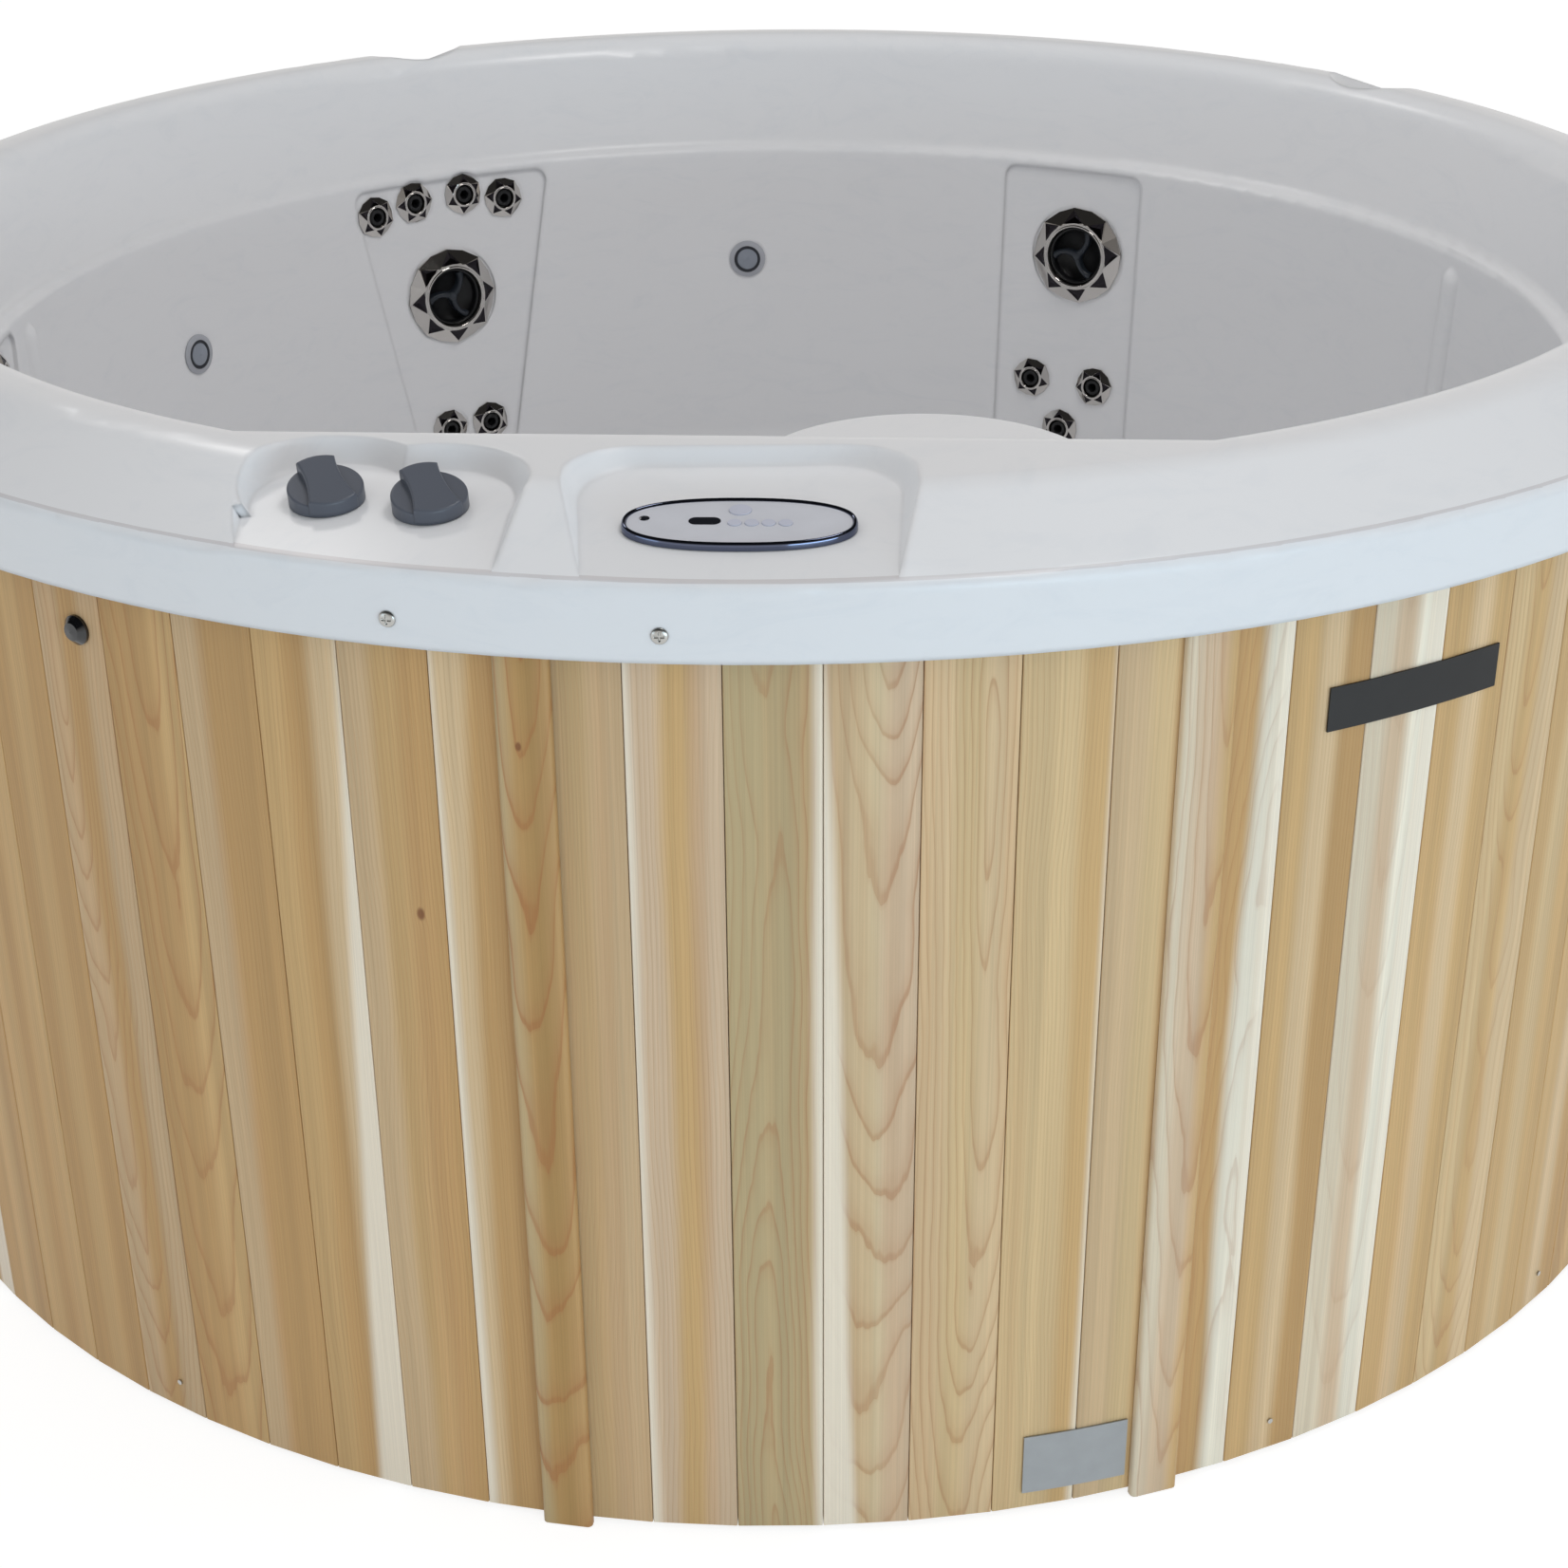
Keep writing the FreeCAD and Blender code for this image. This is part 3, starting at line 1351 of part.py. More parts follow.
def pipe(points, radius):
    """Straight runs with ball elbows between them."""
    solid = None
    for index in range(len(points) - 1):
        run = points[index + 1] - points[index]
        piece = Part.makeCylinder(radius, run.Length, points[index], run)
        solid = piece if solid is None else solid.fuse(piece)
        if index:
            solid = solid.fuse(Part.makeSphere(radius, points[index]))
    return solid


def polar(radius, azimuth, height):
    angle = math.radians(azimuth)
    return Vector(radius * math.sin(angle), -radius * math.cos(angle), height)


def plumbing():
    """Feed from the pump through the heater to the ring main, with a stub up or down to every jet."""
    section = Part.Face(Part.Wire(Part.makeCircle(main_pipe_radius, Vector(main_radius, 0, main_height), Vector(0, 1, 0))))
    main = section.revolve(origin, up, main_start_azimuth - main_end_azimuth)
    main.rotate(origin, up, main_end_azimuth - 90.0)
    start = polar(main_radius, main_start_azimuth, main_height)
    heater_end = Vector(heater_left - fit_gap, pump_y, heater_height)
    main = main.fuse(pipe([start, Vector(start.x, start.y, heater_height),
                           Vector(start.x, pump_y, heater_height), heater_end], main_pipe_radius))
    for _, kind, azimuth, height in jets():
        if kind == "big":
            at = wall_radius(height) + panel_recess + big_barrel_depth - stub_inset
            stub = pipe([polar(main_radius, azimuth, main_height), polar(at, azimuth, main_height),
                         polar(at, azimuth, height - big_barrel_radius - stub_gap)], stub_pipe_radius)
        else:
            end = wall_radius(height) + panel_recess + small_barrel_depth + stub_gap
            stub = pipe([polar(main_radius, azimuth, main_height), polar(main_radius, azimuth, height),
                         polar(end, azimuth, height)], stub_pipe_radius)
        main = main.fuse(stub)
    feed = pipe([Vector(volute_x(), pump_y, discharge_top_height + fit_gap),
                 Vector(volute_x(), pump_y, heater_height - heater_collar_radius - fit_gap)], feed_pipe_radius)
    return Part.Compound([main, feed])


def insulation():
    """Foil blanket inside the posts, and the foam pad that carries the footwell."""
    outer = ring_outer_radius() - ring_width - fit_gap - post_width - fit_gap
    foot = pan_floor + fit_gap
    blanket = ring_sector(outer - blanket_thickness, outer, foot, blanket_top_height - foot,
                          door_last_azimuth() + post_offset_angle, door_first_azimuth() + 360 - post_offset_angle)
    top = footwell_floor_height - floor_fall - shell_thickness - fit_gap
    pad = tube(pad_radius, floor_neck_radius * 2, foot, top - foot)
    return Part.Compound([blanket, pad])


def build_nodes():
    nodes = {"acrylic_shell": acrylic_shell()}
    nodes.update(jet_nodes())
    nodes.update(light_nodes())
    nodes.update(knob_nodes())
    nodes.update(keypad_nodes())
    nodes.update(stave_nodes())
    nodes["door_rails"] = door_rails()
    nodes["door_battens"] = door_battens()
    nodes["frame_rings"] = frame_rings()
    nodes["frame_posts"] = frame_posts()
    nodes["base_pan"] = base_pan()
    nodes["stave_nails"] = stave_nails()
    nodes["lip_screws"] = lip_screws()
    nodes["vent_cap"] = vent_cap()
    nodes["nameplate"] = curved_plate(nameplate_azimuth, nameplate_length, nameplate_foot, nameplate_width)
    nodes["data_plate"] = curved_plate(data_plate_azimuth, data_plate_length, data_plate_foot, data_plate_width)
    nodes["cable_gland"] = cable_gland()
    nodes["drain_valve"] = drain_valve()
    nodes["footwell_covers"] = footwell_covers()
    nodes["filter_lid"] = filter_lid()
    nodes["filter_cartridge"] = filter_cartridge()
    nodes["pump_motor"] = pump_motor()
    nodes["pump_wet_end"] = pump_wet_end()
    nodes["heater"] = heater()
    nodes["control_box"] = control_box()
    nodes["plumbing"] = plumbing()
    nodes["insulation"] = insulation()
    return nodes


def main():
    os.makedirs("parts", exist_ok=True)
    for name, shape in build_nodes().items():
        print(name, len(shape.Solids), "valid" if shape.isValid() else "INVALID", round(shape.Volume / 1000.0, 1))
        shape.exportStep("parts/%s.step" % name)


main()
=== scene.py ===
"""Looks of the round cedar-clad hot tub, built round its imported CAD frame.

Lengths are in metres and azimuths in degrees, counted from the controls' side (-Y) towards +X.
"""

from __future__ import annotations

import json
import logging
import math
from dataclasses import dataclass, field
from enum import Enum
from typing import Iterator, Sequence

import bpy
import numpy as np
from mathutils import Matrix, Vector
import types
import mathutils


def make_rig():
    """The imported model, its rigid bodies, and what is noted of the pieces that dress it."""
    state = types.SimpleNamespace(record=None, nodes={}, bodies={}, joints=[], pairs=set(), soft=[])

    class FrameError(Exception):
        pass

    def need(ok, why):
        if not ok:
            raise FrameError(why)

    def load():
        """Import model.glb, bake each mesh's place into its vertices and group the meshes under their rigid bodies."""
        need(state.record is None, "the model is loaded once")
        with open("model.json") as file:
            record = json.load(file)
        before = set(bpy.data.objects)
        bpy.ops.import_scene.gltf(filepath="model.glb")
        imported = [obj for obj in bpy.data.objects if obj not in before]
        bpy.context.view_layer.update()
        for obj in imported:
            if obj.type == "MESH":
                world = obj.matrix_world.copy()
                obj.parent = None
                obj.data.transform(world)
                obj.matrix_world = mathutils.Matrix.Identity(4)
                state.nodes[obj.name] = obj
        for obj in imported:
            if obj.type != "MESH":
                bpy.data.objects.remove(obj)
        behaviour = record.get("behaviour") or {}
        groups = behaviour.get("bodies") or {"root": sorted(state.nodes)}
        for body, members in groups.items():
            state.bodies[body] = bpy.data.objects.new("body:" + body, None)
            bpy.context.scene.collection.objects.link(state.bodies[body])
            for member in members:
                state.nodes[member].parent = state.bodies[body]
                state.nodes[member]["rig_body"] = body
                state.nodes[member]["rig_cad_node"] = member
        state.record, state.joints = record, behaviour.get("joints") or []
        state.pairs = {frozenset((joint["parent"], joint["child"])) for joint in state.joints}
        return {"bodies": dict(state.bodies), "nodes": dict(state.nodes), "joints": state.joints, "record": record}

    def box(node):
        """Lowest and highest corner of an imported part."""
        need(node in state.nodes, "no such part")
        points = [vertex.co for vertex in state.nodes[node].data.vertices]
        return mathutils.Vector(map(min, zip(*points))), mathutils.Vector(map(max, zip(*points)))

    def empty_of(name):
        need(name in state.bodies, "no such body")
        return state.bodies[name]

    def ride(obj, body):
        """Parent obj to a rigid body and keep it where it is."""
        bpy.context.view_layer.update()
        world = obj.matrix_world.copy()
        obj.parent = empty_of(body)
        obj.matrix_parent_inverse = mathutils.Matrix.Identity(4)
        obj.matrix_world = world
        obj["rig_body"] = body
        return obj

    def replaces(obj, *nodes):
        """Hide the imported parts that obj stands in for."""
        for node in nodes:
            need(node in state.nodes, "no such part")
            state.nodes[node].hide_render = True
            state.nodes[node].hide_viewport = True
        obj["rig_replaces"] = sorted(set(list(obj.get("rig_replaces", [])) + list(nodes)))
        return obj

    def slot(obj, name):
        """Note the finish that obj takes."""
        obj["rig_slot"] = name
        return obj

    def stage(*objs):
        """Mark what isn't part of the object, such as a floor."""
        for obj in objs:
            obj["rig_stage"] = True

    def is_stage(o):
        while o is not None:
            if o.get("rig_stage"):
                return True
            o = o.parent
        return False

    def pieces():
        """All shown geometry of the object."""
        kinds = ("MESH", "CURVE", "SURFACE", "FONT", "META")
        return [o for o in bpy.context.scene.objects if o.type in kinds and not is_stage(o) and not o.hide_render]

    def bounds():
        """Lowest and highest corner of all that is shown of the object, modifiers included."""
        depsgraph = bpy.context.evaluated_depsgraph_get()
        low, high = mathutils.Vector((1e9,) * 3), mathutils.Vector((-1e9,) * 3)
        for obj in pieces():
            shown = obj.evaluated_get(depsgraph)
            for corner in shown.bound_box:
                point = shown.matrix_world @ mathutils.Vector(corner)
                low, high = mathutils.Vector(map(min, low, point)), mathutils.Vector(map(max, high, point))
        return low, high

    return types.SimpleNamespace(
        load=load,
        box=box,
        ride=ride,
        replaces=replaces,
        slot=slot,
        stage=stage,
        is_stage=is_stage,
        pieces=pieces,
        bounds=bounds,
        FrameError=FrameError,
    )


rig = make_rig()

log = logging.getLogger("hot_tub")

SIZE_FILE = "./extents.json"
MM = 0.001
# The frame brings plain materials under some of the same names, so the scene's own end in this.
OWN = "_procedural"
# Rays that look for an edge to round in the shading.
EDGE_SAMPLES = 6
# The cabinet's ring of boards, and its joint number zero. Two more joints bound the door.
BOARDS_IN_RING = 84
BOARD_PITCH = 360.0 / BOARDS_IN_RING
JOINT_AZIMUTH = 1.9
DOOR_JOINTS = (-3, 4)


# Small helpers


def linear(colour: str) -> tuple[float, float, float, float]:
    """Turns an sRGB colour into the linear one that shaders take.

    Args:
        colour: Six hexadecimal digits.

    Returns:
        Red, green, blue and an alpha of one.
    """
    values = [int(colour[start : start + 2], 16) / 255.0 for start in (0, 2, 4)]
    return (*(v / 12.92 if v <= 0.04045 else ((v + 0.055) / 1.055) ** 2.4 for v in values), 1.0)


@dataclass(frozen=True)
class Reading:
    """What an output of a node gives, so that a pattern can be written as a formula.

    Attributes:
        node: The node.
        output: Name or number of its output.
    """

    node: bpy.types.Node
    output: int | str = 0

    def __getitem__(self, output: int | str) -> Reading:
        """Gives another output of the node."""
        return Reading(self.node, output)

    def __iter__(self) -> Iterator[Reading]:
        """Gives the node's outputs in turn."""
        return (Reading(self.node, number) for number in range(len(self.node.outputs)))

    def calc(self, operation: str, *others: Feed) -> Reading:
        """Puts the reading through one of Blender's sums.

        Args:
            operation: Blender's name of the sum.
            *others: What follows the reading in the sum.

        Returns:
            The result.
        """
        inputs = dict(enumerate((self, *others)))
        return add_node(self.node.id_data, "ShaderNodeMath", inputs, operation=operation)

    def __add__(self, other: Feed) -> Reading:
        """Adds to the reading."""
        return self.calc("ADD", other)

    def __sub__(self, other: Feed) -> Reading:
        """Takes something from the reading."""
        return self.calc("SUBTRACT", other)

    def __rsub__(self, other: float) -> Reading:
        """Takes the reading from a number."""
        inputs = {0: other, 1: self}
        return add_node(self.node.id_data, "ShaderNodeMath", inputs, operation="SUBTRACT")

    def __mul__(self, other: Feed) -> Reading:
        """Multiplies the reading."""
        return self.calc("MULTIPLY", other)

    def __truediv__(self, other: Feed) -> Reading:
        """Divides the reading."""
        return self.calc("DIVIDE", other)

    def diagonal(self, other: Reading) -> Reading:
        """Gives the distance that this reading and one at right angles to it make."""
        return (self * self + other * other).calc("SQRT")


Feed = Reading | float | Sequence[float]


def add_node(tree: bpy.types.NodeTree, kind: str, inputs: dict[int | str, Feed] | None = None,
             output: int | str = 0, **settings: object) -> Reading:
    """Adds a node, with its settings and inputs.

    Args:
        tree: Tree that gets the node.
        kind: Blender's name of the node type.
        inputs: Name or number of an input to a constant, or to the reading that feeds it.
        output: Name or number of the output that is wanted.
        **settings: Properties of the node.

    Returns:
        Reading of the wanted output.
    """
    node = tree.nodes.new(kind)
    for name, value in settings.items():
        setattr(node, name, value)
    for key, value in (inputs or {}).items():
        if isinstance(value, Reading):
            tree.links.new(value.node.outputs[value.output], node.inputs[key])
        else:
            node.inputs[key].default_value = value
    return Reading(node, output)


def bare_tree(owner: bpy.types.Material | bpy.types.World) -> bpy.types.NodeTree:
    """Gives a material or a world an empty node tree.

    Args:
        owner: The material or world.

    Returns:
        Its tree.
    """
    owner.use_nodes = True
    owner.node_tree.nodes.clear()
    return owner.node_tree


def polar(azimuth: float, radius: float, height: float) -> Vector:
    """Gives the point at an azimuth, radius and height."""
    angle = math.radians(azimuth)
    return Vector((radius * math.sin(angle), -radius * math.cos(angle), height))


def circle(steps: int, start: float = 0.0) -> list[tuple[float, float]]:
    """Gives the cosine and sine of even steps round a circle, from a start in radians."""
    angles = [math.tau * step / steps + start for step in range(steps)]
    return [(math.cos(angle), math.sin(angle)) for angle in angles]


def mesh_object(name: str, vertices: Sequence, faces: Sequence,
                smooth: bool = True) -> bpy.types.Object:
    """Makes an object of a mesh and adds it to the scene.

    Args:
        name: Name of the object and its mesh.
        vertices: Points in the row frame.
        faces: Corner numbers of each face.
        smooth: Whether faces shade as one surface.

    Returns:
        The new object.
    """
    mesh = bpy.data.meshes.new(name)
    mesh.from_pydata([tuple(vertex) for vertex in vertices], [], faces)
    mesh.validate()
    mesh.polygons.foreach_set("use_smooth", [smooth] * len(mesh.polygons))
    piece = bpy.data.objects.new(name, mesh)
    bpy.context.scene.collection.objects.link(piece)
    return piece


# Finishes


@dataclass(frozen=True)
class Surface:
    """A finish whose material is built once and shared.

    Attributes:
        name: Name of the material.
    """

    name: str

    def material(self) -> bpy.types.Material:
        """Finds the material, or builds it.

        Returns:
            The material.
        """
        made = bpy.data.materials.get(self.name + OWN)
        if made is None:
            made = bpy.data.materials.new(self.name + OWN)
            tree = bare_tree(made)
            shader = add_node(tree, "ShaderNodeBsdfPrincipled", self.inputs(tree))
            add_node(tree, "ShaderNodeOutputMaterial", {"Surface": shader})
        return made

    def inputs(self, tree: bpy.types.NodeTree) -> dict[str, Feed]:
        """Adds the nodes that feed the shader, and gives its inputs."""
        raise NotImplementedError


@dataclass(frozen=True)
class Finish(Surface):
    """A plain finish with a little unevenness in its colour and gloss.

    Attributes:
        colour: sRGB colour as six hexadecimal digits.
        roughness: Roughness of the surface.
        metallic: One for a metal.
        grain: Size of the unevenness.
        unevenness: How far colour and roughness vary.
        bump: Depth of the surface's texture.
        coat: Weight of a clear coat.
        edge: Radius by which edges look rounded.
    """

    colour: str
    roughness: float = 0.4
    metallic: float = 0.0
    grain: float = 0.02
    unevenness: float = 0.06
    bump: float = 0.0
    coat: float = 0.0
    edge: float = 0.0

    def inputs(self, tree: bpy.types.NodeTree) -> dict[str, Feed]:
        """Adds the nodes that feed the shader.

        Args:
            tree: The material's tree.

        Returns:
            Inputs of the shader.
        """
        place = add_node(tree, "ShaderNodeTexCoord", output="Object")
        noise = add_node(tree, "ShaderNodeTexNoise",
                         {"Vector": place, "Scale": 1.0 / self.grain, "Detail": 4.0})
        low, high = 1.0 - self.unevenness, 1.0 + self.unevenness
        dark, light = ((*(min(part * share, 1.0) for part in linear(self.colour)[:3]), 1.0)
                       for share in (low, high))
        colour = add_node(tree, "ShaderNodeMix", {0: noise, 6: dark, 7: light}, 2, data_type="RGBA")
        rough = add_node(tree, "ShaderNodeMapRange",
                         {"Value": noise, "To Min": self.roughness * low,
                          "To Max": self.roughness * high})
        inputs = {"Base Color": colour, "Roughness": rough, "Metallic": self.metallic,
                  "Coat Weight": self.coat, "Coat Roughness": 0.05}
        if self.edge:
            inputs["Normal"] = add_node(tree, "ShaderNodeBevel", {"Radius": self.edge},
                                        samples=EDGE_SAMPLES)
        if self.bump:
            under = {"Normal": inputs["Normal"]} if self.edge else {}
            inputs["Normal"] = add_node(tree, "ShaderNodeBump", {"Height": noise, "Strength": 0.5,
                                                                 "Distance": self.bump, **under})
        return inputs


@dataclass(frozen=True)
class AcrylicFinish(Surface):
    """Pearly acrylic sheet: faint streaks, rounded-looking edges, and painted shade along the crease above the skirt.

    Attributes:
        colour: sRGB colour of the sheet.
        streak_colour: sRGB colour of the streaks.
        streak_size: Distance between streaks.
        streak_squash: How much closer the streaks lie in height.
        roughness: Roughness of the gloss.
        edge: Radius by which edges look rounded.
        crease_shade_colour: sRGB colour of the painted shade in the crease above the skirt.
        crease_shade_share: How strongly the painted shade shows.
        crease_shade_height: Height of the painted shade line.
        crease_shade_half: Half of its width.
        crease_shade_radius: Distance from the axis beyond which the painted shade shows.
    """

    colour: str = "E3E3E5"
    streak_colour: str = "D4D7DC"
    streak_size: float = 0.12
    streak_squash: float = 2.6
    roughness: float = 0.3
    edge: float = 0.009
    crease_shade_colour: str = "A99C9C"
    crease_shade_share: float = 0.35
    crease_shade_height: float = 0.9318
    crease_shade_half: float = 0.0009
    crease_shade_radius: float = 1.056

    def inputs(self, tree: bpy.types.NodeTree) -> dict[str, Feed]:
        """Adds the nodes that feed the shader.

        Args:
            tree: The material's tree.

        Returns:
            Inputs of the shader.
        """
        place = add_node(tree, "ShaderNodeTexCoord", output="Object")
        squash = (1.0, 1.0, self.streak_squash)
        squashed = add_node(tree, "ShaderNodeVectorMath", {0: place, 1: squash},
                            operation="MULTIPLY")
        streak = add_node(tree, "ShaderNodeTexNoise",
                          {"Vector": squashed, "Scale": 1.0 / self.streak_size, "Detail": 7.0,
                           "Roughness": 0.7, "Distortion": 2.2})
        streaks = add_node(tree, "ShaderNodeMapRange",
                           {"Value": streak, "From Min": 0.5, "From Max": 0.72, "To Max": 0.3})
        x, y, z = add_node(tree, "ShaderNodeSeparateXYZ", {0: place})
        # A thin band above the skirt gets painted shade, standing in for the shade in the crease there.
        near = (z - self.crease_shade_height).calc("ABSOLUTE").calc("LESS_THAN", self.crease_shade_half)
        crease_shade = near * x.diagonal(y).calc("GREATER_THAN", self.crease_shade_radius)
        colour = linear(self.colour)
        layers = ((streaks, self.streak_colour), (crease_shade * self.crease_shade_share, self.crease_shade_colour))
        for share, layer in layers:
            colour = add_node(tree, "ShaderNodeMix", {0: share, 6: colour, 7: linear(layer)}, 2,
                              data_type="RGBA")
        normal = add_node(tree, "ShaderNodeBevel", {"Radius": self.edge}, samples=EDGE_SAMPLES)
        return {"Base Color": colour, "Roughness": self.roughness, "Normal": normal,
                "Coat Weight": 0.12, "Coat Roughness": 0.15}


@dataclass(frozen=True)
class CedarFinish(Surface):
    """Planed cedar board: bands of tone, growth rings cut by the face, sapwood, a knot and fibres.

    The pattern reads the piece's own attributes. grain_co is a point in its board, across, deep
    and up. pith is where the log's heart lies: across, behind the face, and lean. traits are the
    noise offset, the ring spacing and the strength of the ring lines. sap is the width of the
    pale edge at foot and top, and its side. knot is the knot's place across and up, and its
    radius. tone_left, tone_middle and tone_right are the bands.

    Attributes:
        ring_spacing: Distance between growth rings.
        fibre_size: Width of the fibres.
        warm_colour: sRGB colour of the warmer streaks.
        late_colour: sRGB colour of the rings' dark lines.
        sap_colour: sRGB colour of the sapwood.
        knot_colour: sRGB colour of the knot.
        half_width: Half the width of a board.
        length: Height over which the pale edge changes.
        roughness: Roughness of the planed face.
        least: Width or radius below which a board has no pale edge or knot.
        ring_shades: Places in a ring, from 0 inside to 1 outside, and how dark the wood is there.
            The ring's two ends come first.
    """

    ring_spacing: float = 0.0062
    fibre_size: float = 0.0012
    warm_colour: str = "CFA272"
    late_colour: str = "A5683A"
    sap_colour: str = "F3E6D2"
    knot_colour: str = "7B4A2A"
    half_width: float = 0.039
    length: float = 0.87
    roughness: float = 0.5
    least: float = 0.0001
    ring_shades: tuple[tuple[float, float], ...] = (
        (0.0, 0.5), (1.0, 1.0), (0.05, 0.08), (0.3, 0.0), (0.62, 0.12), (0.86, 0.45), (0.93, 1.0))

    def inputs(self, tree: bpy.types.NodeTree) -> dict[str, Feed]:
        """Adds the nodes that feed the shader.

        Args:
            tree: The material's tree.

        Returns:
            Inputs of the shader.
        """

        def attribute(name: str, output: str = "Color") -> Reading:
            """Reads an attribute of the piece."""
            return add_node(tree, "ShaderNodeAttribute", output=output, attribute_name=name)

        def parts(name: str) -> Reading:
            """Reads the three parts of an attribute."""
            return add_node(tree, "ShaderNodeSeparateXYZ", {0: attribute(name, "Vector")})

        across, _, along = parts("grain_co")
        pith_across, pith_depth, pith_lean = parts("pith")
        seed, density, strength = parts("traits")
        sap_foot, sap_top, sap_side = parts("sap")
        knot_across, knot_up, knot_radius = parts("knot")

        def noise(waves_across: float, waves_along: float, detail: float, offset: float) -> Reading:
            """Gives noise about zero.

            Args:
                waves_across: Waves in a metre across the board.
                waves_along: Waves in a metre along it.
                detail: Finer layers of the noise.
                offset: What sets it apart from the other noises.

            Returns:
                The noise.
            """
            place = {0: across * waves_across, 1: seed + offset, 2: along * waves_along}
            inputs = {"Vector": add_node(tree, "ShaderNodeCombineXYZ", place), "Detail": detail}
            return add_node(tree, "ShaderNodeTexNoise", {"Scale": 1.0, **inputs}) - 0.5

        def eased(value: Reading, low: float, high: float, first: float, last: float) -> Reading:
            """Leads smoothly from first to last while a reading goes from low to high."""
            inputs = dict(enumerate((value, low, high, first, last)))
            return add_node(tree, "ShaderNodeMapRange", inputs, interpolation_type="SMOOTHSTEP")

        sway = noise(3.0, 1.3, 2, 7.0) * 0.03
        swayed = across + sway

        # The knot's rings crowd round it, and the board's own swerve past it.
        knot_near = ((across - knot_across).diagonal((along - knot_up) * 0.62)
                     / knot_radius.calc("MAXIMUM", self.least))
        swerve = knot_radius * 1.6 / (knot_near * knot_near + 1.0)

        # Rings are circles about the log's heart, which the board's face cuts.
        side = across - pith_across + noise(5.0, 1.7, 2, 0.0) * 0.05 + swerve
        depth = along.calc("MULTIPLY_ADD", pith_lean, pith_depth) + noise(7.0, 2.4, 2, 31.0) * 0.05
        ring = ((side.diagonal(depth) + noise(75.0, 13.0, 2, 57.0) * 0.0035)
                / (density * self.ring_spacing))
        late = add_node(tree, "ShaderNodeValToRGB", {0: ring.calc("FRACT")})
        shades = late.node.color_ramp.elements
        for number, (position, value) in enumerate(self.ring_shades):
            shade = shades[number] if number < 2 else shades.new(position)
            shade.color = (value, value, value, 1.0)
        lines = late * strength * eased(noise(9.0, 1.4, 2, 65.0), -0.22, 0.18, 0.45, 1.0)

        # The pale edge's width runs from foot to top.
        width = (sap_top - sap_foot).calc("MULTIPLY_ADD", along / self.length, sap_foot)
        edge = width + sway * 0.5 - (self.half_width - across * sap_side)
        has_sap = (sap_foot + sap_top).calc("GREATER_THAN", self.least)
        has_knot = knot_radius.calc("GREATER_THAN", self.least)
        warm = eased(noise(32.0, 0.5, 2, 44.0), 0.0, 0.25, 0.0, 0.35)
        fibres = noise(1.0 / self.fibre_size, 3.0, 3, 83.0)

        layers = (
            (eased(swayed, -0.02, -0.004, 1.0, 0.0), attribute("tone_left"), "MIX"),
            (eased(swayed, 0.004, 0.02, 0.0, 1.0), attribute("tone_right"), "MIX"),
            (1.0, eased(noise(55.0, 0.7, 3, 12.0), -0.2, 0.2, 0.9, 1.08), "MULTIPLY"),
            (warm, linear(self.warm_colour), "MIX"),
            (lines, linear(self.late_colour), "MIX"),
            (eased(edge, -0.006, 0.006, 0.0, 0.88) * has_sap, linear(self.sap_colour), "MIX"),
            (eased(knot_near, 0.6, 1.5, 0.85, 0.0) * has_knot, linear(self.knot_colour), "MIX"),
            (1.0, eased(fibres, -0.2, 0.2, 0.94, 1.04), "MULTIPLY"),
        )
        colour = attribute("tone_middle")
        for share, layer, blend in layers:
            colour = add_node(tree, "ShaderNodeMix", {0: share, 6: colour, 7: layer}, 2,
                              data_type="RGBA", blend_type=blend)
        bump = add_node(tree, "ShaderNodeBump",
                        {"Height": fibres, "Strength": 0.3, "Distance": 0.0004})
        return {"Base Color": colour, "Roughness": self.roughness, "Normal": bump,
                "Specular IOR Level": 0.35}


# Vacuum-formed acrylic sheet: a soft gloss whose broad highlights follow every rounded edge.
ACRYLIC = AcrylicFinish("acrylic")
# Planed western red cedar: matt, each board in its own tone, with dark late wood and pale sapwood.
CEDAR = CedarFinish("cedar_board")
# Chrome plate on moulded ABS: a clear mirror, a little warm. The darker chrome in the bezels' hollows is a painted
# dark reflection, and the dark plate mirrors less.
CHROME = Finish("chrome", "CBC7C3", roughness=0.07, metallic=1.0, unevenness=0.02)
CHROME_PAINTED_DARK_REFLECTION = Finish("smoked_chrome", "322F33", roughness=0.12, metallic=1.0, unevenness=0.02)
DARK_CHROME = Finish("dark_chrome", "5E6478", roughness=0.09, metallic=1.0, unevenness=0.02)
# Moulded black ABS, fine-textured: nearly black, with dull highlights. The spokes are smoother.
BLACK_PLASTIC = Finish("black_plastic", "090A0D", roughness=0.45, bump=0.00005, grain=0.001)
SPOKE_PLASTIC = Finish("spoke_plastic", "222830", roughness=0.35)
GLOSS_BLACK = Finish("gloss_black", "0C0D10", roughness=0.12, coat=0.5)
# Moulded charcoal ABS with a spark-eroded texture: grey, with a faint light along its edges.
KNOB_PLASTIC = Finish("knob_plastic", "555963", roughness=0.36, bump=0.00004, grain=0.0006,
                      edge=0.0015)
# Extruded and moulded rigid PVC: white and smooth.
PIPE = Finish("white_pipe", "E6E6E0", roughness=0.35)
# Stainless steel, turned or pressed: grey with blurred reflections.
STEEL = Finish("steel", "B5B4B0", roughness=0.28, metallic=1.0)
# Sawn softwood: dull, uneven tan.
TIMBER = Finish("frame_timber", "B89B6C", roughness=0.7, grain=0.03, unevenness=0.2)
# Thermoformed ABS sheet: dull, slightly pebbled black.
BASE = Finish("base_plastic", "2A2A2C", roughness=0.6, bump=0.0002, grain=0.004)
# Moulded polycarbonate over an unlit lamp: smooth and grey, in a black rubber gasket.
LENS = Finish("light_lens", "868C97", roughness=0.12, coat=0.6)
RUBBER = Finish("gasket_rubber", "2A2D34", roughness=0.6)
LIGHT_RING = Finish("light_ring", "A7A9B0", roughness=0.3)
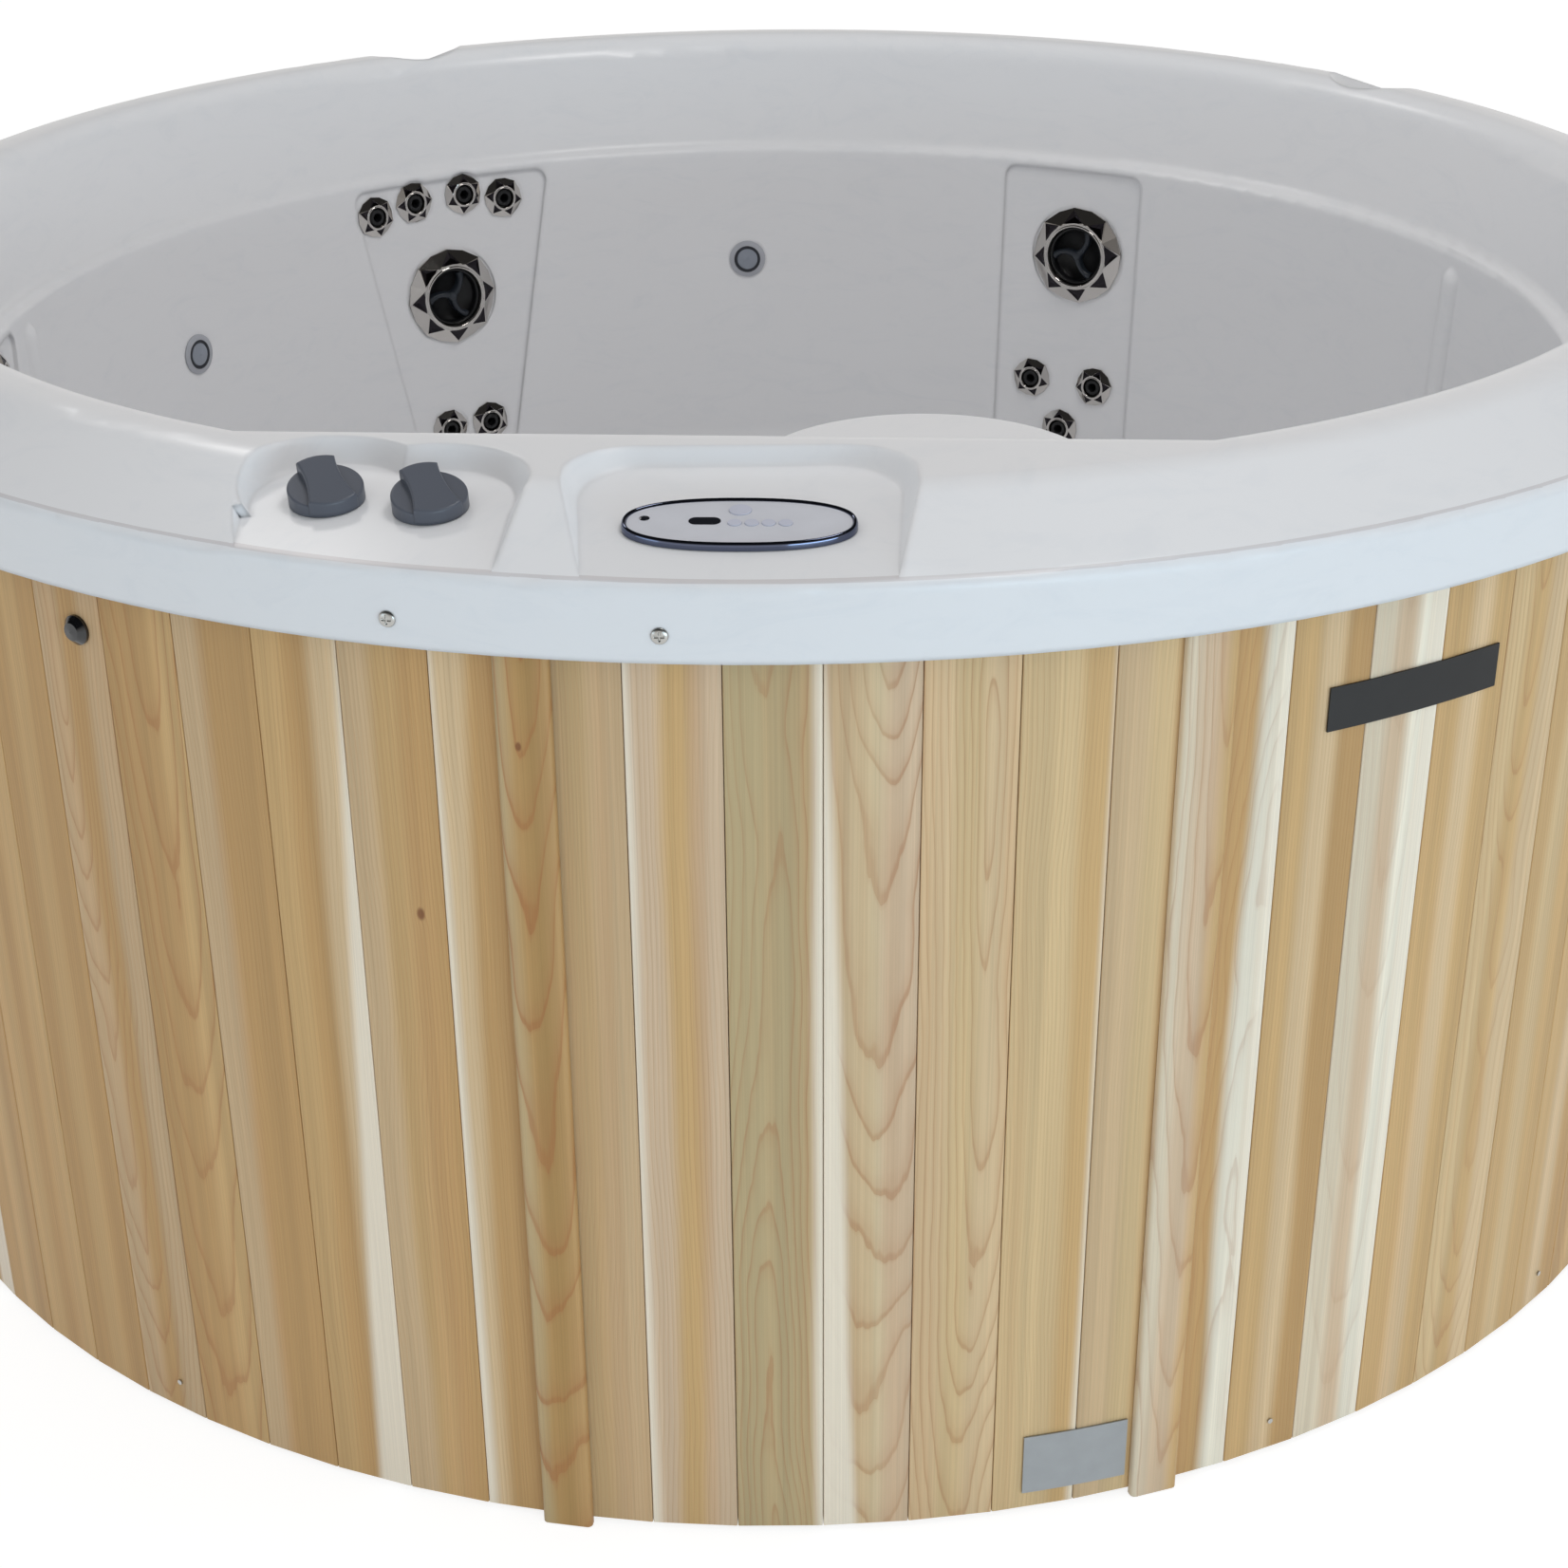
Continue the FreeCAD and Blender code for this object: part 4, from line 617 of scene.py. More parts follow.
# Printed polyester film on the keypad: satin grey, with a gloss black window and bluer keys.
KEYPAD_FRAME = Finish("keypad_frame", "8F96A8", roughness=0.22, metallic=0.7)
KEYPAD_FILM = Finish("keypad_film", "C8C9D0", roughness=0.3)
DISPLAY = Finish("display", "15171E", roughness=0.1, coat=0.5)
BUTTON = Finish("button", "BDBFCD", roughness=0.35)
# Bare sign plates: dull black enamel, and satin aluminium.
PLATE_DARK = Finish("nameplate", "08090A", roughness=0.55)
PLATE_METAL = Finish("data_plate", "9A9EA1", roughness=0.35, metallic=0.6, unevenness=0.1)
# Cast brass, dulled by handling.
BRASS = Finish("brass", "B8935A", roughness=0.3, metallic=1.0)
# Moulded pale ABS.
GREY_PLASTIC = Finish("grey_plastic", "C9CCD0", roughness=0.35)
# Pleated spun polyester: matt white and fibrous.
FILTER = Finish("filter_fabric", "E8E7E0", roughness=0.9, bump=0.0004, grain=0.002)
# Black enamel on a cast motor frame, and painted sheet steel on the control box.
MOTOR = Finish("motor_paint", "202126", roughness=0.4, bump=0.0001, grain=0.002)
BOX = Finish("control_box", "6A6D73", roughness=0.5)
# Aluminium foil facing on foam: bright and crumpled.
FOIL = Finish("foil", "B9BBBD", roughness=0.3, metallic=0.8, bump=0.002, grain=0.03)

NODE_FINISHES: dict[str, Surface] = {
    "acrylic_shell": ACRYLIC, "jet_bodies": PIPE, "jet_nuts": PIPE,
    "small_jet_nozzles": BLACK_PLASTIC, "light_rings": LIGHT_RING, "light_lenses": LENS,
    "diverter_valves": PIPE, "keypad_bezel": KEYPAD_FRAME, "keypad_overlay": KEYPAD_FILM,
    "keypad_display": DISPLAY, "keypad_housing": BLACK_PLASTIC, "door_rails": TIMBER,
    "frame_rings": TIMBER, "frame_posts": TIMBER, "base_pan": BASE, "stave_nails": STEEL,
    "lip_screws": STEEL, "vent_cap": GLOSS_BLACK, "nameplate": PLATE_DARK,
    "data_plate": PLATE_METAL, "cable_gland": BLACK_PLASTIC, "drain_valve": BRASS,
    "footwell_covers": GREY_PLASTIC, "filter_lid": GREY_PLASTIC, "filter_cartridge": FILTER,
    "pump_motor": MOTOR, "pump_wet_end": BLACK_PLASTIC, "heater": STEEL, "control_box": BOX,
    "plumbing": PIPE, "insulation": FOIL}
FAMILY_FINISHES: dict[str, Surface] = {
    "jet_bezel": CHROME, "jet_rotor": BLACK_PLASTIC, "valve_knob": KNOB_PLASTIC,
    "keypad_button": BUTTON, "fixed_staves": TIMBER, "door_staves": TIMBER, "door_battens": TIMBER}


def finish_for(node: str) -> Surface:
    """Finds the finish of a CAD node by its name, or by its family's.

    Args:
        node: Name of the CAD node.

    Returns:
        The node's finish.
    """
    if node in NODE_FINISHES:
        return NODE_FINISHES[node]
    return next(finish for family, finish in FAMILY_FINISHES.items() if node.startswith(family))


# Cabinet


class BoardKind(Enum):
    """Tones of cedar, each with its sRGB colour, from dark to pale."""

    OLIVE = "B18C56"
    GOLD = "C19A66"
    TAN = "BCA176"
    SAGE = "B9A47C"
    HONEY = "CCA874"
    SAND = "CDB089"
    STRAW = "D7BA8C"
    ROSE = "DCBF96"
    PINK = "D3B899"
    PALE = "DECAA4"
    CREAM = "E0D0B6"
    IVORY = "F0E6D2"


@dataclass(frozen=True)
class BoardLook:
    """How one board looks.

    Attributes:
        tones: Tones of its left, middle and right.
        pith: Where the log's heart lies: across, behind the face at the foot, and how that depth
            changes upwards.
        rings: Ring spacing against the common one, and strength of the ring lines.
        sap: Width of the pale edge at the foot and at the top, and its side.
        knot: Place of a knot across and up, and its radius.
        seed: Offset into the noise.
    """

    tones: tuple[BoardKind, BoardKind, BoardKind]
    pith: tuple[float, float, float] = (0.15, 0.03, 0.02)
    rings: tuple[float, float] = (0.55, 0.3)
    sap: tuple[float, float, float] = (0.0, 0.0, 1.0)
    knot: tuple[float, float, float] = (0.0, 0.0, 0.0)
    seed: float = 0.0


# Shares of drawn boards that are sawn near the log's heart, and that have a pale edge.
FLAT_SAWN_SHARE = 0.45
SAPWOOD_SHARE = 0.3
# Seed of the drawn boards.
LOOK_SEED = 84


def random_look(generator: np.random.Generator) -> BoardLook:
    """Draws the look of a board that the photograph doesn't show.

    Args:
        generator: Source of the draws, whose order decides the looks.

    Returns:
        The board's look.
    """
    draw = generator.uniform
    kinds = list(BoardKind)
    first = int(generator.integers(0, len(kinds) - 1))
    tones = tuple(kinds[min(max(first + int(generator.integers(-1, 2)), 0), len(kinds) - 2)]
                  for _ in range(3))
    side = float(generator.choice([-1.0, 1.0]))
    if generator.random() < FLAT_SAWN_SHARE:
        pith = (draw(-0.02, 0.02), draw(0.03, 0.09), draw(-0.1, -0.04))
        rings = (draw(0.9, 1.4), draw(0.5, 0.8))
    else:
        pith = (side * draw(0.1, 0.2), 0.03, draw(-0.03, 0.03))
        rings = (draw(0.45, 0.7), draw(0.2, 0.4))
    sap = (0.0, 0.0, 1.0)
    if generator.random() < SAPWOOD_SHARE:
        sap = (draw(0.005, 0.03), draw(0.0, 0.02), side)
    return BoardLook(tones, pith, rings, sap, seed=draw(0.0, 900.0))


K = BoardKind
# Ring spacing and strength of the board with the flame figure.
FLAME = (1.2, 0.5)
# Boards in the photograph, by the number of the joint at their left.
SEEN_BOARDS: dict[int, BoardLook] = {
    -12: BoardLook((K.GOLD, K.HONEY, K.GOLD), (0.14, 0.03, 0.02), (0.6, 0.25), seed=0.4),
    -11: BoardLook((K.HONEY, K.GOLD, K.HONEY), seed=1.1),
    -10: BoardLook((K.GOLD, K.HONEY, K.GOLD), seed=3.1),
    -9: BoardLook((K.SAND, K.GOLD, K.SAND), (-0.02, 0.05, -0.05), (0.7, 0.4), seed=11.2),
    -8: BoardLook((K.GOLD, K.GOLD, K.HONEY), (0.0, 0.075, -0.07), (1.25, 0.5), seed=22.7),
    -7: BoardLook((K.SAND, K.GOLD, K.GOLD), (0.13, 0.03, 0.02), seed=35.0),
    -6: BoardLook((K.HONEY, K.GOLD, K.ROSE), (0.14, 0.03, 0.03), sap=(0.032, 0.0, 1.0), seed=41.9),
    -5: BoardLook((K.SAND, K.HONEY, K.GOLD), (-0.13, 0.03, 0.02), knot=(0.017, 0.62, 0.0032),
                  seed=53.3),
    -4: BoardLook((K.ROSE, K.GOLD, K.GOLD), (-0.15, 0.02, 0.02), sap=(0.006, 0.004, -1.0),
                  seed=64.4),
    -3: BoardLook((K.SAND, K.TAN, K.SAND), (0.12, 0.02, 0.03), (0.5, 0.22),
                  sap=(0.006, 0.016, -1.0), seed=75.5),
    -2: BoardLook((K.PINK, K.HONEY, K.PINK), (0.16, 0.03, -0.02), (0.7, 0.3),
                  sap=(0.008, 0.006, -1.0), seed=86.1),
    -1: BoardLook((K.SAGE, K.SAGE, K.SAGE), (0.0, 0.012, 0.022), (0.8, 0.45),
                  sap=(0.006, 0.008, 1.0), seed=97.8),
    0: BoardLook((K.SAND, K.PALE, K.PINK), (0.012, 0.105, -0.105), FLAME,
                 sap=(0.03, 0.0, -1.0), seed=108.6),
    1: BoardLook((K.ROSE, K.STRAW, K.ROSE), (0.02, 0.05, -0.07), (1.0, 0.42), seed=119.4),
    2: BoardLook((K.STRAW, K.STRAW, K.HONEY), (-0.15, 0.03, 0.02), sap=(0.006, 0.0, 1.0),
                 seed=130.2),
    3: BoardLook((K.SAND, K.STRAW, K.HONEY), (0.16, 0.03, 0.02), (0.5, 0.22), seed=141.5),
    4: BoardLook((K.GOLD, K.GOLD, K.IVORY), (0.03, 0.04, 0.03), (0.7, 0.3),
                 sap=(0.004, 0.01, 1.0), seed=152.9),
    5: BoardLook((K.HONEY, K.ROSE, K.GOLD), (0.15, 0.03, 0.02), seed=163.1),
    6: BoardLook((K.CREAM, K.PINK, K.IVORY), (0.0, 0.05, -0.05), (1.3, 0.16),
                 sap=(0.008, 0.016, 1.0), seed=174.6),
    7: BoardLook((K.HONEY, K.ROSE, K.HONEY), (-0.15, 0.02, 0.03), seed=185.2),
    8: BoardLook((K.STRAW, K.HONEY, K.ROSE), (0.0, 0.06, -0.06), (0.9, 0.4), seed=196.0),
    9: BoardLook((K.HONEY, K.STRAW, K.HONEY), (0.12, 0.03, 0.03), seed=207.0),
    10: BoardLook((K.HONEY, K.ROSE, K.GOLD), (0.14, 0.03, 0.03), seed=218.0),
    11: BoardLook((K.GOLD, K.HONEY, K.HONEY), (0.0, 0.05, -0.05), (0.9, 0.35), seed=229.0),
}
BATTEN_LOOKS = (
    BoardLook((K.SAGE, K.OLIVE, K.GOLD), (0.0, 0.085, -0.09), (1.3, 0.7), seed=311.0,
              knot=(-0.004, 0.785, 0.0022)),
    BoardLook((K.CREAM, K.PINK, K.HONEY), (0.01, 0.05, -0.05), (1.0, 0.45), (0.004, 0.004, 1.0),
              seed=322.0))


def board_looks(first: int, count: int) -> list[BoardLook]:
    """Looks of a run of boards, from the seen ones and drawn ones.

    Args:
        first: Number of the run's first joint.
        count: Boards in the run.

    Returns:
        One look for each board.
    """
    generator = np.random.default_rng(LOOK_SEED)
    numbers = range(-BOARDS_IN_RING // 2, BOARDS_IN_RING * 3 // 2)
    looks = {number: random_look(generator) for number in numbers}
    looks |= {number + BOARDS_IN_RING: look for number, look in SEEN_BOARDS.items()}
    looks |= SEEN_BOARDS
    return [looks[number] for number in range(first, first + count)]


def rounded_section(half: float, near: float, far: float, chamfer: float,
                    steps: int = 3) -> list[tuple[float, float]]:
    """Cross-section of a plain board with eased outer edges.

    Args:
        half: Half of the board's width at its face.
        near: Distance of its back from the tub's axis.
        far: Distance of its face from the tub's axis.
        chamfer: Radius of the eased edges.
        steps: Segments in each eased edge.

    Returns:
        Points as (across, out).
    """
    taper = near / far
    points = [(-half * taper, near), (half * taper, near)]
    for side in (1, -1):
        arc = []
        arc = []
        for step in range(steps + 1):
            angle = math.pi / 2 * step / steps
            arc.append((side * (half - chamfer + chamfer * math.cos(angle)),
                        far - chamfer + chamfer * math.sin(angle)))
        points += arc if side > 0 else arc[::-1]
    return points


def board_mesh(name: str, section: Sequence[tuple[float, float]], foot: float,
               top: float) -> bpy.types.Object:
    """Extrudes a section upwards, drawn at the front of the tub.

    Args:
        name: Name of the board.
        section: Its cross-section, as (across, out).
        foot: Height of its foot.
        top: Height of its top.

    Returns:
        The board.
    """
    vertices = [(x, -y, z) for z in (foot, top) for x, y in section]
    count = len(section)
    ends = [list(range(count))[::-1], list(range(count, 2 * count))]
    faces = [[index, (index + 1) % count, count + (index + 1) % count, count + index]
             for index in range(count)]
    return mesh_object(name, vertices, faces + ends, smooth=False)


def spread_tree(name: str) -> bpy.types.NodeTree:
    """Finds or builds the geometry nodes that spread copies of a piece round the tub's axis.

    They store each copy's number as the attribute board, and the point in the uncopied piece as
    grain_co.

    Args:
        name: Name of the tree.

    Returns:
        The tree.
    """
    made = bpy.data.node_groups.get(name)
    if made is not None:
        return made
    made = bpy.data.node_groups.new(name, "GeometryNodeTree")
    sockets = {"Piece": "Object", "Count": "Int", "First": "Float", "Pitch": "Float",
               "Material": "Material"}
    for label, kind in sockets.items():
        made.interface.new_socket(label, in_out="INPUT", socket_type="NodeSocket" + kind)
    made.interface.new_socket("Geometry", in_out="OUTPUT", socket_type="NodeSocketGeometry")
    given = add_node(made, "NodeGroupInput")
    points = add_node(made, "GeometryNodePoints", {"Count": given["Count"]})
    piece = add_node(made, "GeometryNodeObjectInfo", {"Object": given["Piece"]}, "Geometry")
    place = add_node(made, "GeometryNodeInputPosition")
    marked = add_node(made, "GeometryNodeStoreNamedAttribute",
                      {"Geometry": piece, "Name": "grain_co", "Value": place},
                      data_type="FLOAT_VECTOR", domain="POINT")
    number = add_node(made, "GeometryNodeInputIndex")
    turn = number.calc("MULTIPLY_ADD", given["Pitch"], given["First"])
    rotation = add_node(made, "ShaderNodeCombineXYZ", {2: turn})
    copies = add_node(made, "GeometryNodeInstanceOnPoints",
                      {"Points": points, "Instance": marked, "Rotation": rotation})
    numbered = add_node(made, "GeometryNodeStoreNamedAttribute",
                        {"Geometry": copies, "Name": "board", "Value": number},
                        data_type="INT", domain="INSTANCE")
    real = add_node(made, "GeometryNodeRealizeInstances", {"Geometry": numbered})
    dressed = add_node(made, "GeometryNodeSetMaterial",
                       {"Geometry": real, "Material": given["Material"]})
    add_node(made, "NodeGroupOutput", {"Geometry": dressed})
    return made


def spread(name: str, piece: bpy.types.Object, count: int, first: float, pitch: float,
           material: bpy.types.Material) -> bpy.types.Object:
    """Spreads copies of a piece round the axis and leaves them as one plain mesh.

    Args:
        name: Name of the result.
        piece: Piece drawn at the front. It is removed afterwards.
        count: Number of copies.
        first: Azimuth of the first copy.
        pitch: Angle between copies.
        material: Material of the result.

    Returns:
        The finished object.
    """
    carrier = bpy.data.objects.new(name + "_carrier", bpy.data.meshes.new(name + "_carrier"))
    bpy.context.scene.collection.objects.link(carrier)
    modifier = carrier.modifiers.new("spread", "NODES")
    modifier.node_group = spread_tree("spread_round_axis")
    values = {"Piece": piece, "Count": count, "First": math.radians(first),
              "Pitch": math.radians(pitch), "Material": material}
    for socket in modifier.node_group.interface.items_tree:
        if socket.in_out == "INPUT":
            modifier[socket.identifier] = values[socket.name]
    bpy.context.view_layer.update()
    graph = bpy.context.evaluated_depsgraph_get()
    mesh = bpy.data.meshes.new_from_object(carrier.evaluated_get(graph))
    mesh.name = name
    result = bpy.data.objects.new(name, mesh)
    bpy.context.scene.collection.objects.link(result)
    for leftover in (carrier, piece):
        bpy.data.objects.remove(leftover)
    return result


def paint_boards(piece: bpy.types.Object, looks: Sequence[BoardLook], front: float) -> None:
    """Writes each board's look onto its points.

    Args:
        piece: Mesh with the attributes board and grain_co.
        looks: Look of each board, by its number.
        front: Distance of the boards' face from the axis, which becomes zero depth.
    """
    mesh = piece.data
    count = len(mesh.vertices)
    numbers = np.zeros(count, dtype=np.int32)
    mesh.attributes["board"].data.foreach_get("value", numbers)
    place = np.zeros(count * 3, dtype=np.float32)
    mesh.attributes["grain_co"].data.foreach_get("vector", place)
    place = place.reshape(-1, 3)
    place[:, 1] += front
    mesh.attributes["grain_co"].data.foreach_set("vector", place.ravel())
    vectors = {"pith": [b.pith for b in looks], "traits": [(b.seed, *b.rings) for b in looks],
               "sap": [b.sap for b in looks], "knot": [b.knot for b in looks]}
    for name, values in vectors.items():
        values = np.array(values, dtype=np.float32)[numbers].ravel()
        mesh.attributes.new(name, "FLOAT_VECTOR", "POINT").data.foreach_set("vector", values)
    for index, name in enumerate(("tone_left", "tone_middle", "tone_right")):
        values = np.array([linear(b.tones[index].value) for b in looks], dtype=np.float32)[numbers]
        mesh.attributes.new(name, "FLOAT_COLOR", "POINT").data.foreach_set("color", values.ravel())


@dataclass
class Cladding:
    """A run of vertical boards round the cabinet.

    Attributes:
        node: CAD node that the run replaces.
        body: CAD body that it rides on.
        first_joint: Number of the run's first joint.
        count: Boards in the run.
        face_radius: Distance of the boards' faces from the axis.
        thickness: Thickness of a board.
        gap: Gap between boards.
        easing: Radius of the eased edges.
    """

    node: str
    body: str
    first_joint: int
    count: int
    face_radius: float = 1.042
    thickness: float = 0.019
    gap: float = 0.0007
    easing: float = 0.0012

    def build(self) -> bpy.types.Object:
        """Builds the run from the foot to the top of its CAD node.

        Returns:
            The run as one piece.
        """
        low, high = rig.box(self.node)
        half = self.face_radius * math.tan(math.radians(BOARD_PITCH / 2)) - self.gap / 2
        back = self.face_radius - self.thickness
        section = rounded_section(half, back, self.face_radius, self.easing)
        board = board_mesh(self.node + "_board", section, low[2], high[2])
        first = JOINT_AZIMUTH + (self.first_joint + 0.5) * BOARD_PITCH
        run = spread(self.node + "_look", board, self.count, first, BOARD_PITCH, CEDAR.material())
        paint_boards(run, board_looks(self.first_joint, self.count), self.face_radius)
        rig.ride(run, self.body)
        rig.replaces(run, self.node)
        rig.slot(run, "cedar")
        return run


@dataclass
class Battens:
    """The two upright battens over the door's edges.

    Attributes:
        joints: Numbers of the joints that they cover.
        width: Width of a batten.
        thickness: Thickness of a batten.
        back_radius: Distance of a batten's back from the axis.
        round_radius: Radius of its outer edges.
        round_steps: Segments in each rounded edge.
    """

    joints: tuple[int, int] = DOOR_JOINTS
    width: float = 0.046
    thickness: float = 0.009
    back_radius: float = 1.04303
    round_radius: float = 0.0048
    round_steps: int = 6

    def build(self) -> bpy.types.Object:
        """Builds both battens.

        Returns:
            The battens as one piece.
        """
        low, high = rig.box("door_battens")
        far = self.back_radius + self.thickness
        section = rounded_section(self.width / 2, self.back_radius, far, self.round_radius,
                                  self.round_steps)
        batten = board_mesh("batten", section, low[2], high[2])
        first, last = (JOINT_AZIMUTH + joint * BOARD_PITCH for joint in self.joints)
        pair = spread("door_battens_look", batten, 2, first, last - first, CEDAR.material())
        paint_boards(pair, BATTEN_LOOKS, far)
        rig.ride(pair, "access_door")
        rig.replaces(pair, "door_battens")
        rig.slot(pair, "cedar")
        return pair


# Fittings


def axis_frame(place: Sequence[float], axis: Sequence[float]) -> Matrix:
    """Frame at a place, with Z along an axis and X level.

    Args:
        place: Point in the row frame.
        axis: Direction of Z.

    Returns:
        Matrix from the local frame to the row frame.
    """
    z = Vector(axis).normalized()
    x = z.cross(Vector((0, 0, 1))).normalized()
    turn = Matrix((x, z.cross(x), z)).transposed()
    return Matrix.Translation(Vector(place)) @ turn.to_4x4()


@dataclass
class Sketch:
    """Points and faces of a piece that is drawn in millimetres, in a frame of its own.

    Attributes:
        points: Points of the piece.
        faces: Corner numbers of each face.
        smooth: Whether each face shades as part of a curved surface.
        finishes: Number of each face's finish.
    """

    points: list[tuple[float, float, float]] = field(default_factory=list)
    faces: list[list[int]] = field(default_factory=list)
    smooth: list[bool] = field(default_factory=list)
    finishes: list[int] = field(default_factory=list)

    def add(self, points: Sequence, faces: Sequence, smooth: bool = True, finish: int = 0) -> None:
        """Adds points, and faces between them.

        Args:
            points: The points.
            faces: Corner numbers of each face, counted from the first of these points.
            smooth: Whether the faces shade as a curved surface.
            finish: Number of their finish.
        """
        start = len(self.points)
        self.points += [tuple(point) for point in points]
        self.faces += [[start + corner for corner in face] for face in faces]
        self.smooth += [smooth] * len(faces)
        self.finishes += [finish] * len(faces)

    def loops(self, loops: Sequence[Sequence], smooth: bool = True, finish: int = 0,
              close: bool = False) -> None:
        """Adds a skin over closed loops of equal length.

        Args:
            loops: Loops of points, each counted anticlockwise.
            smooth: Whether the skin shades as a curved surface.
            finish: Number of its finish.
            close: Whether a face fills the last loop.
        """
        size = len(loops[0])
        size = len(loops[0])
        faces = []
        for row in range(0, (len(loops) - 1) * size, size):
            for index in range(size):
                step = (index + 1) % size
                faces.append([row + index, row + step, row + size + step, row + size + index])
        if close:
            faces.append([(len(loops) - 1) * size + index for index in range(size)])
        self.add([point for loop in loops for point in loop], faces, smooth, finish)

    def lathe(self, profile: Sequence[tuple[float, float]], segments: int = 64, finish: int = 0,
              close: bool = False, centre: tuple[float, float] = (0.0, 0.0)) -> None:
        """Adds a turned surface.

        Args:
            profile: Radius and height of its circles, from its outer edge inwards.
            segments: Corners of each circle.
            finish: Number of its finish.
            close: Whether a face fills the last circle.
            centre: Place of its axis.
        """
        x, y = centre
        turns = circle(segments)
        loops = [[(x + radius * cosine, y + radius * sine, height) for cosine, sine in turns]
                 for radius, height in profile]
        self.loops(loops, True, finish, close)

    def build(self, name: str, frame: Matrix, finishes: Sequence[Surface]) -> bpy.types.Object:
        """Makes the object, in the row frame.

        Args:
            name: Name of the object.
            frame: Where the sketch's own frame lies.
            finishes: Its finishes, by number.

        Returns:
            The finished object.
        """
        points = [frame @ (Vector(point) * MM) for point in self.points]
        piece = mesh_object(name, points, self.faces)
        piece.data.polygons.foreach_set("use_smooth", self.smooth)
        piece.data.polygons.foreach_set("material_index", self.finishes)
        for finish in finishes:
            piece.data.materials.append(finish.material())
        return piece


class JetSize(Enum):
    """Sizes of jet face, each with the word for it in the names of the nodes."""

    BIG = "_big_"
    SMALL = "_small_"


@dataclass(frozen=True)
class BezelShape:
    """Measures of a faceted bezel.

    Attributes:
        corners: Corners of its outline.
        bore: Radius of the hole.
        lip: Radius where the smooth inner lip ends.
        outer: Radius of the outline's corners.
        top: Height of the lip.
        shoulder: Height of the outline's corners.
        dip: Height of the outline between its corners.
        inset: How far the outline falls back between its corners.
        foot: Height of its back.
    """

    corners: int
    bore: float
    lip: float
    outer: float
    top: float
    shoulder: float
    dip: float
    inset: float = 1.2
    foot: float = 0.4


BEZELS = {JetSize.BIG: BezelShape(8, 38.8, 45.0, 64.3, 14.3, 4.4, 1.8),
          JetSize.SMALL: BezelShape(6, 12.75, 16.2, 27.2, 8.3, 2.7, 1.2)}
# Profile of the lip, as shares of its width inwards and of the bezel's rise downwards.
LIP_PROFILE = ((0.0, 0.16), (0.25, 0.1), (0.38, 0.2), (0.5, 0.05), (0.68, 0.0), (0.86, 0.06),
               (1.0, 0.3))
LIP_DROP = LIP_PROFILE[0][1]


@dataclass
class JetBezel:
    """Chrome bezel of a jet: a thin lip, and facets that run out to a cornered edge.

    Attributes:
        node: CAD node and body of the bezel.
        size: Size of the jet.
        frame: Frame of its axis.
        turn: How far its facets are turned.
    """

    node: str
    size: JetSize
    frame: Matrix
    turn: float = 0.0

    def build(self) -> bpy.types.Object:
        """Builds the bezel.

        Returns:
            The bezel.
        """
        shape = BEZELS[self.size]
        sketch = Sketch()
        rise = shape.top - shape.shoulder
        width = shape.lip - shape.bore
        reach = shape.outer - shape.lip
        lip_top = shape.top - LIP_DROP * rise
        lip = [(shape.lip - inset * width, shape.top - drop * rise) for inset, drop in LIP_PROFILE]
        sketch.lathe([*lip, (shape.bore, shape.foot)], 96)
        step = math.tau / shape.corners

        def at(turn: float, radius: float, height: float) -> tuple[float, float, float]:
            """Gives the point at a turn, counted in corners."""
            return radius * math.cos(step * turn), radius * math.sin(step * turn), height

        for number in range(shape.corners):
            # Each corner has a facet from the lip to the tip, with a hollow sunk in it. The hollow's darker chrome is
            # a painted dark reflection.
            here, there = (at(number + half, shape.lip, lip_top) for half in (0.0, 1.0))
            before, tip = (at(number + half, shape.outer, shape.shoulder) for half in (-0.5, 0.5))
            middle = at(number, shape.outer - shape.inset, shape.dip)
            left, right = (at(number + half, shape.lip + 0.07 * reach, lip_top - 0.06 * rise)
                           for half in (0.1, 0.9))
            apex = at(number + 0.5, shape.lip + 0.86 * reach, shape.shoulder + 0.12 * rise)
            hollow = at(number + 0.46, shape.lip + 0.4 * reach, shape.shoulder + 0.3 * rise)
            sketch.add([here, tip, there, left, apex, right],
                       [[0, 1, 4, 3], [1, 2, 5, 4], [0, 3, 5, 2]], False)
            sketch.add([left, apex, right, hollow], [[0, 1, 3], [1, 2, 3], [2, 0, 3]], False, 1)
            sketch.add([here, middle, tip], [[0, 1, 2]], False)
            sketch.add([before, middle, here], [[0, 1, 2]], False)
            for first, last in ((before, middle), (middle, tip)):
                feet = [(*first[:2], shape.foot), (*last[:2], shape.foot)]
                sketch.add([*feet, last, first], [[0, 1, 2, 3]], False)
        turned = self.frame @ Matrix.Rotation(math.radians(self.turn), 4, "Z")
        piece = sketch.build(self.node + "_look", turned, [CHROME, CHROME_PAINTED_DARK_REFLECTION])
        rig.ride(piece, self.node)
        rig.replaces(piece, self.node)
        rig.slot(piece, "chrome_trim")
        return piece


